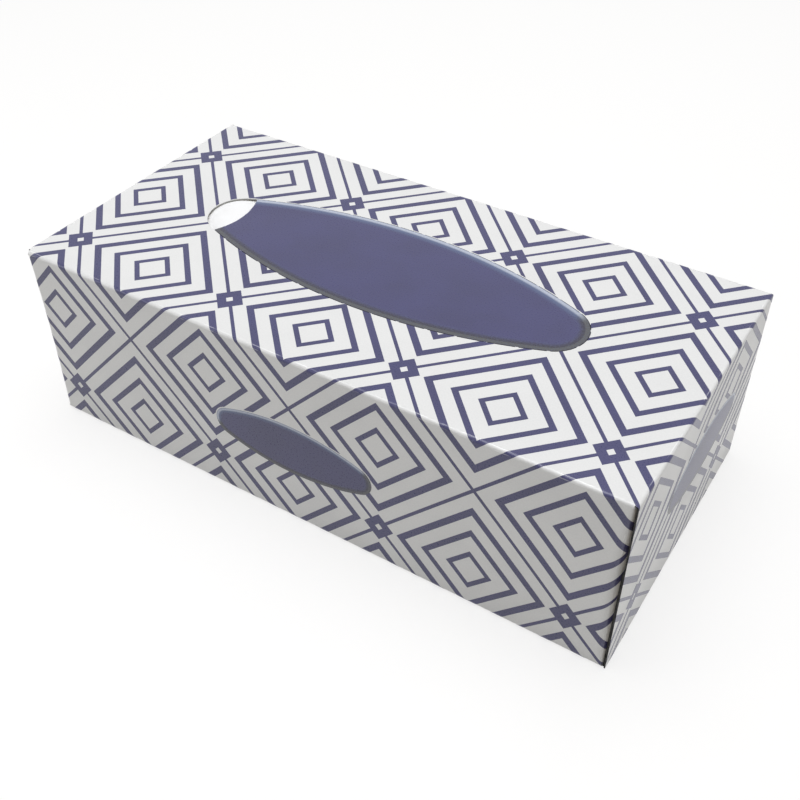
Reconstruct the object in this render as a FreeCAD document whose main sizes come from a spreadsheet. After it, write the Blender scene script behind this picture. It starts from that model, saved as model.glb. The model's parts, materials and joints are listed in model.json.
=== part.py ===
"""Tissue box: a folded and glued board carton with an oval tear-out top, full of folded tissues.

The carton is one sheet of board. The printed ink is a thin layer of separate fields on its outside.
Frame: X along the length, Y towards the back, +Z up, origin under the middle of the box.
"""

import FreeCAD
import Part
import Sketcher
import math
import os

from FreeCAD import Placement, Rotation, Vector

# Driving dimensions in millimetres, each with its place in the sheet and a note.
DIMENSIONS = [
    ("length", 231.0, "outside length of the box"),
    ("width", 115.0, "outside width, front to back"),
    ("height", 73.0, "outside height"),
    ("board", 0.5, "thickness of the carton board"),
    ("layer_gap", 0.1, "glue film between two layers of board"),
    ("fold_radius", 2.0, "outside radius of the long folds"),
    ("end_fold_radius", 1.8, "outside radius of the folds at the top and bottom of an end"),
    ("dust_fold_radius", 2.0, "outside radius of the folds of the dust flaps"),
    ("slot", 0.4, "end of the long folds, before the flaps start to turn"),
    ("corner_cut", 0.45, "how far the side edges of the end flaps lie inside the box's corners"),
    ("flap_clearance", 0.3, "room between the dust flaps and the panels over and under them"),
    ("foot_gap", 0.8, "height of the free lower edges above the table"),
    ("seam_flap", 17.0, "height of the glue flap inside the back panel"),
    ("inner_flap", 44.0, "height of the inner end flap's free edge"),
    ("dust_flap", 40.0, "reach of a dust flap from its panel's face"),
    ("glue_line", 5.0, "width of a line of glue"),
    ("glue_end_room", 12.0, "bare length at both ends of a line of glue"),
    ("end_room", 7.8, "room between the stack of tissues and the flaps at each end"),
    ("side_room", 4.4, "room between the stack and the panels at its sides"),
    ("head_room", 3.0, "room over the stack"),
    ("tissue_rounding", 3.0, "soft rounding of the stack's upper edges"),
    ("opening_length", 151.2, "length of the oval tear-out panel"),
    ("opening_width", 49.8, "width of the tear-out panel"),
    ("opening_end_radius", 12.7, "radius of the oval's two ends"),
    ("opening_shift_left", 2.2, "how far left of the middle the ovals on top, front and back lie"),
    ("opening_shift_back", 1.6, "how far behind the middle of the top it lies"),
    ("thumb_reach", 12.5, "length of the open thumb hole"),
    ("thumb_radius", 30.0, "radius of the thumb hole's inner edge"),
    ("slit_width", 0.2, "width of a perforation slit"),
    ("slit_length", 20.0, "length of a perforation slit with its nick"),
    ("nick", 1.6, "uncut bridge between two slits"),
    ("badge_length", 64.0, "length of the small printed oval on a side"),
    ("badge_width", 21.5, "height of the small printed oval"),
    ("badge_end_radius", 6.0, "end radius of the small printed oval"),
    ("badge_lowering", 3.0, "how far under the middle of its side that oval lies"),
    ("end_badge_length", 60.0, "length of the printed oval on an end"),
    ("end_badge_width", 20.0, "height of the printed oval on an end"),
    ("end_badge_end_radius", 5.5, "end radius of the printed oval on an end"),
    ("end_badge_lift", 5.0, "how far over the middle of its end that oval lies"),
    ("end_badge_shift_back", 7.0, "how far behind the middle of its end that oval lies"),
    ("rim", 1.7, "width of the pale rim along a printed oval"),
    ("rim_margin", 0.5, "bare board outside a printed oval"),
    ("ink", 0.04, "thickness of the ink layer"),
    ("cell_length", 68.2, "repeat of the printed lattice along the box"),
    ("cell_width", 71.9, "repeat of the lattice round the box"),
    ("lattice_left", 11.4, "left edge of the box to the first knot of the lattice"),
    ("lattice_back", 27.1, "back edge of the box to the first knot"),
    ("lattice_line", 1.65, "width of the thin lattice line, along the box"),
    ("knot", 5.7, "half diagonal of the diamond at each knot"),
    ("knot_eye", 1.5, "half diagonal of the bare middle of a knot"),
    ("inner_ring", 5.9, "inner half diagonal of the smallest ring"),
    ("inner_band", 2.4, "width of the smallest ring"),
    ("middle_ring", 14.9, "inner half diagonal of the middle ring"),
    ("middle_band", 2.8, "width of the middle ring"),
    ("outer_ring", 23.8, "inner half diagonal of the largest ring"),
    ("outer_band", 3.3, "width of the largest ring"),
]

NAME_COLUMN = "A"
VALUE_COLUMN = "B"
NOTE_COLUMN = "C"
# Tilt of the line that parts an oval's lit upper half from the rest, in degrees
RIM_TILT = 11.0
X_AXIS = Vector(1, 0, 0)
Y_AXIS = Vector(0, 1, 0)
Z_AXIS = Vector(0, 0, 1)
ORIGIN = Vector(0, 0, 0)


def make_sheet(doc):
    """Write the driving dimensions into the sheet, one row each."""
    sheet = doc.addObject("Spreadsheet::Sheet", "Dimensions")
    for row, (alias, value, note) in enumerate(DIMENSIONS, start=1):
        sheet.set(f"{NAME_COLUMN}{row}", alias)
        sheet.set(f"{VALUE_COLUMN}{row}", str(value))
        sheet.setAlias(f"{VALUE_COLUMN}{row}", alias)
        sheet.set(f"{NOTE_COLUMN}{row}", note)
    doc.recompute()
    return sheet


def bind(target, **expressions):
    """Bind properties of an object to expressions over the sheet; each bare alias gets its sheet name."""
    for name, text in expressions.items():
        target.setExpression(name.replace("__", "."), sized(text))


def sized(text):
    """Put the sheet's name before each alias in an expression."""
    aliases = {alias for alias, _, _ in DIMENSIONS}
    words = text.split(" ")
    return " ".join(f"Dimensions.{word}" if word in aliases else word for word in words)


# Expressions that several pieces share
STACK_LENGTH = "length - 6 * board - 4 * layer_gap - 2 * end_room"
STACK_WIDTH = "width - 4 * board - 2 * layer_gap - 2 * side_room"
STACK_HEIGHT = "height - 2 * board - head_room"
INSIDE_SEAM = "width - board - layer_gap"
INNER_FLAP_FACE = "length / 2 - board - layer_gap"
DUST_FLAP_FACE = "length / 2 - 2 * board - 2 * layer_gap"
SLEEVE_END = f"{DUST_FLAP_FACE} - dust_fold_radius - slot"

# How each sketch plane lies in the box: across it, along it (the sketch's first axis is the height) or flat
ACROSS = Rotation(0.5, 0.5, 0.5, 0.5)
ALONG = Rotation(-0.5, -0.5, -0.5, 0.5)
FLAT = Rotation()


def folded_line(doc, name, corners, radius, rotation, **place):
    """A sketch of straight runs joined by tangent arcs that all turn right: the outside of a folded strip.

    corners holds the line's two ends and its sharp corners as pairs of expressions; radius is an
    expression. A coordinate written as 0 is put on the sketch's axis.
    """
    sketch = doc.addObject("Sketcher::SketchObject", name)
    sketch.Placement = Placement(ORIGIN, rotation)
    bind(sketch, **place)
    points = [Vector(value_of(sketch, u), value_of(sketch, v), 0) for u, v in corners]
    bend = value_of(sketch, radius)

    lines = []
    arcs = []
    starts = [points[0]]
    ends = []
    for before, corner, after in zip(points, points[1:], points[2:]):
        arrive = (corner - before).normalize()
        leave = (after - corner).normalize()
        ends.append(corner - arrive * bend)
        starts.append(corner + leave * bend)
    ends.append(points[-1])
    for start, end in zip(starts, ends):
        lines.append(sketch.addGeometry(Part.LineSegment(start, end)))
    for end, start, corner in zip(ends, starts[1:], points[1:]):
        centre = end + start - corner
        from_angle = math.atan2(start.y - centre.y, start.x - centre.x)
        to_angle = math.atan2(end.y - centre.y, end.x - centre.x)
        circle = Part.Circle(centre, Z_AXIS, bend)
        arcs.append(sketch.addGeometry(Part.ArcOfCircle(circle, from_angle, to_angle)))

    for index, arc in enumerate(arcs):
        sketch.addConstraint(Sketcher.Constraint("Tangent", lines[index], 2, arc, 2))
        sketch.addConstraint(Sketcher.Constraint("Tangent", arc, 1, lines[index + 1], 1))
        sized_constraint(sketch, "Radius", (arc,), bend, radius)
    for index, line in enumerate(lines):
        run = points[index + 1] - points[index]
        upright = abs(run.x) < abs(run.y)
        sketch.addConstraint(Sketcher.Constraint("Vertical" if upright else "Horizontal", line))
        put_point(sketch, line, 1, points[index], corners[index], 0 if upright else 1)
    first_run = points[1] - points[0]
    last_run = points[-1] - points[-2]
    put_point(sketch, lines[0], 1, points[0], corners[0], 1 if abs(first_run.x) < abs(first_run.y) else 0)
    put_point(sketch, lines[-1], 2, points[-1], corners[-1], 1 if abs(last_run.x) < abs(last_run.y) else 0)
    return sketch


def value_of(target, text):
    """The present value of an expression over the sheet."""
    return float(target.evalExpression(sized(text)))


def put_point(sketch, line, end, point, corner, axis):
    """Fix one coordinate of a line's end to its expression, or to the sketch's axis where it is 0."""
    if corner[axis] == "0":
        sketch.addConstraint(Sketcher.Constraint("PointOnObject", line, end, -2 if axis == 0 else -1))
        return
    kind = "DistanceX" if axis == 0 else "DistanceY"
    sized_constraint(sketch, kind, (-1, 1, line, end), point[axis], corner[axis])


def sized_constraint(sketch, kind, where, value, text):
    """Add a constraint whose size is bound to the sheet."""
    index = sketch.addConstraint(Sketcher.Constraint(kind, *where, value))
    sketch.setExpression(f"Constraints[{index}]", sized(text))


def strip(doc, name, line, span):
    """Thicken a folded line inwards to the board and extrude it by span about its plane."""
    section = doc.addObject("Part::Offset2D", f"{name}_section")
    section.Source = line
    section.Mode = "Skin"
    section.Fill = True
    bind(section, Value="board")
    solid = doc.addObject("Part::Extrusion", name)
    solid.Base = section
    solid.DirMode = "Normal"
    solid.Solid = True
    solid.Symmetric = True
    bind(solid, LengthFwd=span)
    return solid


def mirrored(doc, source, normal):
    """A mirror image of an object about a plane through the origin."""
    copy = doc.addObject("Part::Mirroring", f"{source.Name}_mirrored")
    copy.Source = source
    copy.Normal = normal
    return copy


class Lines:
    """The outside lines of the carton's panels and flaps."""

    def __init__(self, doc):
        self.sleeve = folded_line(
            doc, "sleeve_line",
            [(INSIDE_SEAM, "fold_radius + seam_flap"), (INSIDE_SEAM, "0"), ("0", "0"), ("0", "height"),
             ("width", "height"), ("width", "foot_gap")],
            "fold_radius", ACROSS, Placement__Base__y="-1 * width / 2")
        self.outer_flap = folded_line(
            doc, "outer_flap_line",
            [("foot_gap", "length / 2"), ("height", "length / 2"), ("height", SLEEVE_END)],
            "end_fold_radius", ALONG)
        self.inner_flap = folded_line(
            doc, "inner_flap_line",
            [("0", SLEEVE_END), ("0", INNER_FLAP_FACE), ("inner_flap", INNER_FLAP_FACE)],
            "end_fold_radius", ALONG)
        self.dust_flap = folded_line(
            doc, "dust_flap_line",
            [(DUST_FLAP_FACE, "dust_flap"), (DUST_FLAP_FACE, "0"), (SLEEVE_END, "0")],
            "dust_fold_radius", FLAT, Placement__Base__y="-1 * width / 2", Placement__Base__z="height / 2")


FLAP_SPAN = "width - 2 * corner_cut"
INNER_FLAP_SPAN = "width - 2 * board - 2 * layer_gap - 2 * corner_cut"
DUST_SPAN = "height - 2 * board - 2 * flap_clearance"
SLEEVE_SPAN = f"2 * ( {SLEEVE_END} )"


def fold_carton(doc, lines):
    """The closed board before its top is cut: a seamed sleeve and four flaps turned in at each end."""
    sleeve = strip(doc, "sleeve", lines.sleeve, SLEEVE_SPAN)
    outer = strip(doc, "outer_flap", lines.outer_flap, FLAP_SPAN)
    inner = strip(doc, "inner_flap", lines.inner_flap, INNER_FLAP_SPAN)
    front_dust = strip(doc, "dust_flap", lines.dust_flap, DUST_SPAN)
    back_dust = mirrored(doc, front_dust, Y_AXIS)
    right = [outer, inner, front_dust, back_dust]
    left = [mirrored(doc, flap, X_AXIS) for flap in right]
    board = doc.addObject("Part::MultiFuse", "folded_board")
    board.Shapes = [sleeve] + right + left
    board.Refine = True
    return board


class Panel:
    """The flat of a printed panel, with the unfolded sheet's coordinates: u along the box, s round it."""

    def __init__(self, origin, u_dir, s_dir, out_dir, u_range, s_range):
        self.origin = origin
        self.u_dir = u_dir
        self.s_dir = s_dir
        self.out_dir = out_dir
        self.u_range = u_range
        self.s_range = s_range

    def at(self, u, s):
        """The point of the panel's plane at unfolded coordinates u and s."""
        return self.origin + self.u_dir * u + self.s_dir * s

    def polygon(self, corners):
        """A face with straight sides."""
        points = [self.at(u, s) for u, s in corners]
        return Part.Face(Part.makePolygon(points + points[:1]))

    def meets(self, u, s, u_reach, s_reach):
        """Whether a motif of the given half sizes about a point reaches into the panel."""
        (u0, u1), (s0, s1) = self.u_range, self.s_range
        return u0 - u_reach < u < u1 + u_reach and s0 - s_reach < s < s1 + s_reach

    def window(self):
        """The whole panel as a face."""
        (u0, u1), (s0, s1) = self.u_range, self.s_range
        return self.polygon([(u0, s0), (u1, s0), (u1, s1), (u0, s1)])

    def disc(self, u, s, radius):
        """A round face."""
        return Part.Face(Part.Wire(Part.makeCircle(radius, self.at(u, s), self.out_dir)))


def make_panels(size):
    """The five printed panels by name. The print runs on round the folds, so a fold's arc counts."""
    half_length = size.length / 2
    half_width = size.width / 2
    arc_loss = 2 - math.pi / 2
    long_loss = arc_loss * size.fold_radius
    end_loss = arc_loss * size.end_fold_radius
    flat_drop = (size.fold_radius, size.height - size.fold_radius)
    end_drop = (size.end_fold_radius, size.height - size.foot_gap)
    dust_turn = 2 * (size.board + size.layer_gap) + size.dust_fold_radius
    front_u = (dust_turn, size.length - dust_turn)
    end_s = (size.corner_cut, size.width - size.corner_cut)
    front_start = size.width - long_loss
    right_start = size.length - end_loss
    return {
        "top": Panel(
            Vector(-half_length, half_width, size.height), X_AXIS, -Y_AXIS, Z_AXIS,
            (size.end_fold_radius, size.length - size.end_fold_radius),
            (size.fold_radius, size.width - size.fold_radius)),
        "front": Panel(
            Vector(-half_length, -half_width, size.height + front_start), X_AXIS, -Z_AXIS, -Y_AXIS,
            front_u, (front_start + flat_drop[0], front_start + flat_drop[1])),
        "back": Panel(
            Vector(-half_length, half_width, size.height - long_loss), X_AXIS, Z_AXIS, Y_AXIS,
            front_u, (long_loss - size.height + size.foot_gap, long_loss - flat_drop[0])),
        "right_end": Panel(
            Vector(half_length, half_width, size.height + right_start), -Z_AXIS, -Y_AXIS, X_AXIS,
            (right_start + end_drop[0], right_start + end_drop[1]), end_s),
        "left_end": Panel(
            Vector(-half_length, half_width, size.height - end_loss), Z_AXIS, -Y_AXIS, -X_AXIS,
            (end_loss - end_drop[1], end_loss - end_drop[0]), end_s),
    }


class Oval:
    """A four-arc oval on a panel: two small end arcs joined by two long side arcs.

    along_u tells whether its long axis runs along the panel's u or s direction.
    """

    def __init__(self, panel, u, s, length, width, end_radius, along_u=True):
        self.panel = panel
        self.u = u
        self.s = s
        self.half_length = length / 2
        self.half_width = width / 2
        self.end_radius = end_radius
        self.along_u = along_u

    def at(self, along, across):
        """The point at a distance along and across the oval from its middle."""
        if self.along_u:
            return self.panel.at(self.u + along, self.s + across)
        return self.panel.at(self.u + across, self.s + along)

    def wire(self, inset=0.0):
        """The outline, moved inwards by inset."""
        long_half = self.half_length - inset
        short_half = self.half_width - inset
        end = self.end_radius - inset
        rise = short_half - end
        side = (long_half**2 + short_half**2 - 2 * long_half * end) / (2 * rise)
        end_centre = long_half - end
        side_centre = side - short_half
        reach = math.hypot(end_centre, side_centre)
        along = end_centre / reach * side
        across = side_centre / reach * side - side_centre
        edges = [
            Part.Arc(self.at(along, -across), self.at(long_half, 0), self.at(along, across)),
            Part.Arc(self.at(along, across), self.at(0, short_half), self.at(-along, across)),
            Part.Arc(self.at(-along, across), self.at(-long_half, 0), self.at(-along, -across)),
            Part.Arc(self.at(-along, -across), self.at(0, -short_half), self.at(along, -across)),
        ]
        return Part.Wire([arc.toShape() for arc in edges])

    def face(self, inset=0.0):
        """The oval as a face."""
        return Part.Face(self.wire(inset))

    def band(self, outer_inset, inner_inset):
        """The ring between two insets."""
        return self.face(outer_inset).cut(self.face(inner_inset))

    def upper_half(self):
        """A face over the half of the oval that looks lit: above its long axis, tilted a little."""
        across_dir = self.panel.s_dir if self.along_u else self.panel.u_dir
        reach = 2 * self.half_length * (-1 if across_dir.z > 0 else 1)
        lift = math.tan(math.radians(RIM_TILT)) * reach
        corners = [(-reach, lift), (reach, -lift), (reach, -2 * reach), (-reach, -2 * reach)]
        points = [self.at(along, across) for along, across in corners]
        return Part.Face(Part.makePolygon(points + points[:1]))


def lattice_faces(panel, size):
    """The lattice of thin diagonal lines with a diamond at each knot, as one face with holes."""
    stretch = size.cell_width / size.cell_length
    (u0, u1), (s0, s1) = panel.u_range, panel.s_range
    columns = cell_numbers(u0, u1, size.lattice_left, size.cell_length)
    rows = cell_numbers(s0, s1, size.lattice_back, size.cell_width)
    half_line = size.lattice_line / 2
    first_s = size.lattice_back + rows[0] * size.cell_width
    last_s = size.lattice_back + rows[-1] * size.cell_width
    pieces = []
    for slope in (1, -1):
        shifts = [
            column - slope * row
            for column in (columns[0], columns[-1]) for row in (rows[0], rows[-1])]
        for number in range(min(shifts), max(shifts) + 1):
            ends = []
            for s in (first_s, last_s):
                ends.append((size.lattice_left + size.cell_length * number
                             + slope * (s - size.lattice_back) / stretch, s))
            (near_u, near_s), (far_u, far_s) = ends
            pieces.append(panel.polygon([
                (near_u - half_line, near_s), (near_u + half_line, near_s),
                (far_u + half_line, far_s), (far_u - half_line, far_s)]))
    eyes = []
    for column in columns:
        for row in rows:
            u = size.lattice_left + column * size.cell_length
            s = size.lattice_back + row * size.cell_width
            pieces.append(diamond(panel, u, s, size.knot, stretch))
            eyes.append(diamond(panel, u, s, size.knot_eye, stretch))
    network = pieces[0].fuse(pieces[1:]).removeSplitter()
    return network.cut(eyes)


def ring_faces(panel, size):
    """Three concentric diamond rings in each mesh of the lattice."""
    stretch = size.cell_width / size.cell_length
    (u0, u1), (s0, s1) = panel.u_range, panel.s_range
    bands = (
        (size.inner_ring, size.inner_band),
        (size.middle_ring, size.middle_band),
        (size.outer_ring, size.outer_band),
    )
    rings = []
    for column in cell_numbers(u0, u1, size.lattice_left, size.cell_length):
        for row in cell_numbers(s0, s1, size.lattice_back, size.cell_width):
            for half_column, half_row in ((0.5, 0), (0, 0.5)):
                u = size.lattice_left + (column + half_column) * size.cell_length
                s = size.lattice_back + (row + half_row) * size.cell_width
                for inner, band in bands:
                    outer = inner + band
                    if panel.meets(u, s, outer, outer * stretch):
                        bare_middle = diamond(panel, u, s, inner, stretch)
                        rings.append(diamond(panel, u, s, outer, stretch).cut(bare_middle))
    return rings


def cell_numbers(low, high, start, pitch):
    """The numbers of the lattice cells that touch a range, with one spare at both ends."""
    first = math.floor((low - start) / pitch) - 1
    last = math.ceil((high - start) / pitch) + 1
    return list(range(first, last + 1))


def diamond(panel, u, s, half, stretch):
    """An upright diamond whose half diagonal along u is half."""
    rise = half * stretch
    return panel.polygon([(u - half, s), (u, s - rise), (u + half, s), (u, s + rise)])


def pattern_faces(panel, size, ovals):
    """The panel's whole pattern, kept clear of its ovals."""
    window = panel.window().cut([oval.face(-size.rim_margin) for oval in ovals])
    faces = []
    for shape in [lattice_faces(panel, size)] + ring_faces(panel, size):
        faces.extend(shape.common(window).Faces)
    return faces


def thumb_edge(panel, size, oval, spare=0.0):
    """A disc whose rightmost edge is the thumb hole's inner edge, moved to the right by spare."""
    radius = size.thumb_radius + spare
    u = oval.u - oval.half_length + size.thumb_reach - size.thumb_radius
    return panel.disc(u, oval.s, radius)


def slit_faces(panel, size, oval):
    """The perforation round the tear-out panel: a thin ring with a nick left between each two slits."""
    half_slit = size.slit_width / 2
    ring = oval.band(-half_slit, half_slit)
    outline = oval.wire()
    count = round(outline.Length / size.slit_length)
    nicks = []
    for index in range(count):
        edge, distance = edge_at(outline, (index + 0.5) * outline.Length / count)
        parameter = edge.getParameterByLength(distance)
        point = edge.valueAt(parameter)
        along = edge.tangentAt(parameter) * (size.nick / 2)
        across = panel.out_dir.cross(along).normalize() * size.nick
        corners = [
            point - along - across, point + along - across,
            point + along + across, point - along + across]
        nicks.append(Part.Face(Part.makePolygon(corners + corners[:1])))
    return ring.cut(nicks + [thumb_edge(panel, size, oval, size.nick)])


def edge_at(wire, distance):
    """The edge of a wire that lies at a distance along it, and the distance left on that edge."""
    for edge in wire.Edges:
        if distance <= edge.Length:
            return edge, distance
        distance -= edge.Length
    return wire.Edges[-1], wire.Edges[-1].Length


def shape_object(doc, name, shapes):
    """A feature that holds a group of faces or solids."""
    feature = doc.addObject("Part::Feature", name)
    feature.Shape = Part.makeCompound(shapes)
    return feature


def make_carton(doc, lines, panels, size, opening):
    """The carton: one folded board with the thumb hole and the perforation cut through its top."""
    board = fold_carton(doc, lines)
    top = panels["top"]
    hole = opening.face().common(thumb_edge(top, size, opening))
    cuts = []
    for face in hole.Faces + slit_faces(top, size, opening).Faces:
        cut = face.extrude(Z_AXIS * (3 * size.board))
        cut.translate(Z_AXIS * (-2 * size.board))
        cuts.append(cut)
    cutter = shape_object(doc, "top_cuts", cuts)
    carton = doc.addObject("Part::Cut", "carton")
    carton.Base = board
    carton.Tool = cutter
    return carton


def make_ink(doc, name, panel, faces):
    """A layer of ink on a panel, raised from its outlines."""
    ink = doc.addObject("Part::Extrusion", name)
    ink.Base = shape_object(doc, f"{name}_outlines", faces)
    ink.DirMode = "Custom"
    ink.Dir = panel.out_dir
    ink.Solid = True
    bind(ink, LengthFwd="ink")
    return ink


def make_prints(doc, panels, size, ovals):
    """The navy pattern of each panel, the plain navy ovals and the pale rims along their upper sides.

    The ovals on the two ends have no rim.
    """
    patterns = []
    fields = []
    rims = []
    for name, panel in panels.items():
        own = [oval for oval in ovals if oval.panel is panel]
        patterns.append(make_ink(doc, f"print_{name}", panel, pattern_faces(panel, size, own)))
        for oval in own:
            edge = size.slit_width if name == "top" else 0.0
            field = oval.face(edge)
            if name == "top":
                field = field.cut(thumb_edge(panel, size, oval, size.slit_width))
            if not name.endswith("_end"):
                rim = oval.band(edge, edge + size.rim).common(oval.upper_half())
                rims.append(make_ink(doc, f"{name}_rim", panel, field.common(rim).Faces))
                field = field.cut(rim)
            fields.append(make_ink(doc, f"{name}_field", panel, field.Faces))
    groups = []
    for name, inks in (("oval_fields", fields), ("pale_rims", rims)):
        group = doc.addObject("Part::Compound", name)
        group.Links = inks
        groups.append(group)
    return patterns + groups


def make_ovals(panels, size):
    """The tear-out oval on top and one small oval in the middle of every side."""
    opening = Oval(
        panels["top"],
        size.length / 2 - size.opening_shift_left,
        size.width / 2 - size.opening_shift_back,
        size.opening_length, size.opening_width, size.opening_end_radius)
    ovals = [opening]
    for name in ("front", "back"):
        panel = panels[name]
        s = unfolded_at(panel, panel.s_dir, size.height / 2 - size.badge_lowering)
        ovals.append(Oval(
            panel, size.length / 2 - size.opening_shift_left, s,
            size.badge_length, size.badge_width, size.badge_end_radius))
    for name in ("right_end", "left_end"):
        panel = panels[name]
        u = unfolded_at(panel, panel.u_dir, size.height / 2 + size.end_badge_lift)
        ovals.append(Oval(
            panel, u, size.width / 2 - size.end_badge_shift_back,
            size.end_badge_length, size.end_badge_width, size.end_badge_end_radius, along_u=False))
    return opening, ovals


def unfolded_at(panel, direction, height):
    """The unfolded coordinate along direction at a height over the table."""
    return (height - panel.origin.z) / direction.z


def make_tissues(doc):
    """The stack of folded tissues: one soft block that rests on the bottom panel."""
    body = doc.addObject("PartDesign::Body", "tissue_stack")
    plane = next(item for item in body.Origin.OriginFeatures if item.Role == "XY_Plane")
    sketch = body.newObject("Sketcher::SketchObject", "stack_outline")
    sketch.AttachmentSupport = [(plane, "")]
    sketch.MapMode = "FlatFace"
    half_length = 1.0
    half_width = 1.0
    corners = [
        Vector(-half_length, -half_width, 0), Vector(half_length, -half_width, 0),
        Vector(half_length, half_width, 0), Vector(-half_length, half_width, 0)]
    sides = [
        sketch.addGeometry(Part.LineSegment(start, end))
        for start, end in zip(corners, corners[1:] + corners[:1])]
    for first, second in zip(sides, sides[1:] + sides[:1]):
        sketch.addConstraint(Sketcher.Constraint("Coincident", first, 2, second, 1))
    for side, kind in zip(sides, ("Horizontal", "Vertical", "Horizontal", "Vertical")):
        sketch.addConstraint(Sketcher.Constraint(kind, side))
    sketch.addConstraint(Sketcher.Constraint("Symmetric", sides[0], 1, sides[2], 1, -1, 1))
    sized_constraint(sketch, "DistanceX", (sides[0], 1, sides[0], 2), 2 * half_length, STACK_LENGTH)
    sized_constraint(sketch, "DistanceY", (sides[1], 1, sides[1], 2), 2 * half_width, STACK_WIDTH)
    pad = body.newObject("PartDesign::Pad", "stack_block")
    pad.Profile = sketch
    bind(pad, Length=STACK_HEIGHT)
    doc.recompute()
    rounding = body.newObject("PartDesign::Fillet", "stack_rounding")
    middle = pad.Length.Value / 2
    top_edges = [
        f"Edge{number}" for number, edge in enumerate(pad.Shape.Edges, start=1)
        if edge.BoundBox.ZMin > middle]
    rounding.Base = (pad, top_edges)
    bind(rounding, Radius="tissue_rounding")
    body.Tip = rounding
    bind(body, Placement__Base__z="board")
    return body


def glue_box(doc, name, sizes, place):
    """One flat line of glue: three sizes and three places as expressions."""
    box = doc.addObject("Part::Box", name)
    bind(box, Length=sizes[0], Width=sizes[1], Height=sizes[2])
    bind(box, Placement__Base__x=place[0], Placement__Base__y=place[1], Placement__Base__z=place[2])
    return box


def make_glue(doc):
    """The glue that holds the box shut: a line in the back seam, and two lines and two dabs at each end."""
    seam = glue_box(
        doc, "seam_glue",
        (f"{SLEEVE_SPAN} - 2 * glue_end_room", "layer_gap", "glue_line"),
        (f"-1 * ( {SLEEVE_END} ) + glue_end_room", "width / 2 - board - layer_gap",
         "fold_radius + ( seam_flap - glue_line ) / 2"))
    line_span = "width - 2 * glue_end_room"
    line_start = "-1 * width / 2 + glue_end_room"
    low_line = glue_box(
        doc, "low_end_line", ("layer_gap", line_span, "glue_line"),
        (INNER_FLAP_FACE, line_start, "inner_flap / 2 - 2 * glue_line"))
    high_line = glue_box(
        doc, "high_end_line", ("layer_gap", line_span, "glue_line"),
        (INNER_FLAP_FACE, line_start, "inner_flap - 2 * glue_line"))
    dab_span = "dust_flap - glue_end_room - dust_fold_radius"
    front_dab = glue_box(
        doc, "front_dab", ("layer_gap", dab_span, "glue_line"),
        (DUST_FLAP_FACE, line_start, "inner_flap / 2"))
    back_dab = mirrored(doc, front_dab, Y_AXIS)
    right = doc.addObject("Part::Compound", "right_end_glue")
    right.Links = [low_line, high_line, front_dab, back_dab]
    left = mirrored(doc, right, X_AXIS)
    left.Label = "left_end_glue"
    return [seam, right, left]


def check_and_write(doc, nodes):
    """Stop on any failed object or shape, then write each node to its own file."""
    for item in doc.Objects:
        if "Invalid" in item.State or "Error" in item.State:
            raise RuntimeError(f"{item.Label} failed: {item.State}")
    os.makedirs("parts", exist_ok=True)
    for node in nodes:
        shape = node.Shape
        if shape.isNull() or not shape.isValid() or not shape.Solids:
            raise RuntimeError(f"{node.Label} has no valid solid")
        shape.exportStep(f"parts/{node.Label}.step")
        print(f"{node.Label}: {len(shape.Solids)} solids, {shape.Volume:.1f} mm3")


def main():
    """Build the whole box and write its parts."""
    doc = FreeCAD.newDocument("tissue_box")
    size = make_sheet(doc)
    lines = Lines(doc)
    panels = make_panels(size)
    opening, ovals = make_ovals(panels, size)
    carton = make_carton(doc, lines, panels, size, opening)
    nodes = [carton, make_tissues(doc)]
    nodes += make_glue(doc)
    nodes += make_prints(doc, panels, size, ovals)
    doc.recompute()
    check_and_write(doc, nodes)


main()
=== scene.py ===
"""Tissue box: a printed board carton with an oval tear-out top, and the folded tissues inside it.

The carton and its print come from one flat blank. The blank is triangulated together with the lines of
its print, labelled face by face, and folded by one mapping, so the ink follows each fold and dent of the
board. The blank is worked out in millimetres; Blender's objects are in metres.
"""

import json
import logging
import math
from dataclasses import dataclass
from enum import Enum, IntEnum

import bpy
import numpy as np
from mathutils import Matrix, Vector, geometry, noise

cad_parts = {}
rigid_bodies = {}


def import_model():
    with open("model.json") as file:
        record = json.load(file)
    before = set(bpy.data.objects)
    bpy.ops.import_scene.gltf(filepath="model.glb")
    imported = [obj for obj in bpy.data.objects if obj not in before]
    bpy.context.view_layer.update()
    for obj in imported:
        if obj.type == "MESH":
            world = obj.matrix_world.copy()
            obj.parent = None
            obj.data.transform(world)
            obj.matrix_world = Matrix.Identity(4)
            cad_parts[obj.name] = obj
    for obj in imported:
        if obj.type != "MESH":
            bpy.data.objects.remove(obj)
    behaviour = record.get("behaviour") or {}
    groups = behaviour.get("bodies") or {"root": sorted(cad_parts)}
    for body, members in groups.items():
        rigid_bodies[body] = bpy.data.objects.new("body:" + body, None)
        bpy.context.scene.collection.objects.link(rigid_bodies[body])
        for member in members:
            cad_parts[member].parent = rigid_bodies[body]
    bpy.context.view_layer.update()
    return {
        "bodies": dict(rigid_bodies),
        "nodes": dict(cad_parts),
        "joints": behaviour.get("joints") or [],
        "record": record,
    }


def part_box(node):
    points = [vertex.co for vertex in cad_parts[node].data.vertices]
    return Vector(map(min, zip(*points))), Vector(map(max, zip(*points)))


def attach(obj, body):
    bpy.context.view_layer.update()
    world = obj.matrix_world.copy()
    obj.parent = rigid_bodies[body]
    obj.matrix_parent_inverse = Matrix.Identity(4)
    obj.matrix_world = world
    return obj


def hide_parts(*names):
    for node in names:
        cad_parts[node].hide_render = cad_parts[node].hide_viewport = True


MM = 0.001
BODY = "root"

# A quarter turn; then, per millimetre of a bend's radius, half the length of its arc, and how much
# shorter that is than the way to the sharp corner.
QUARTER_TURN = math.pi / 2
QUARTER_ARC = math.pi / 4
CORNER_LOSS = 1 - QUARTER_ARC

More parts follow.
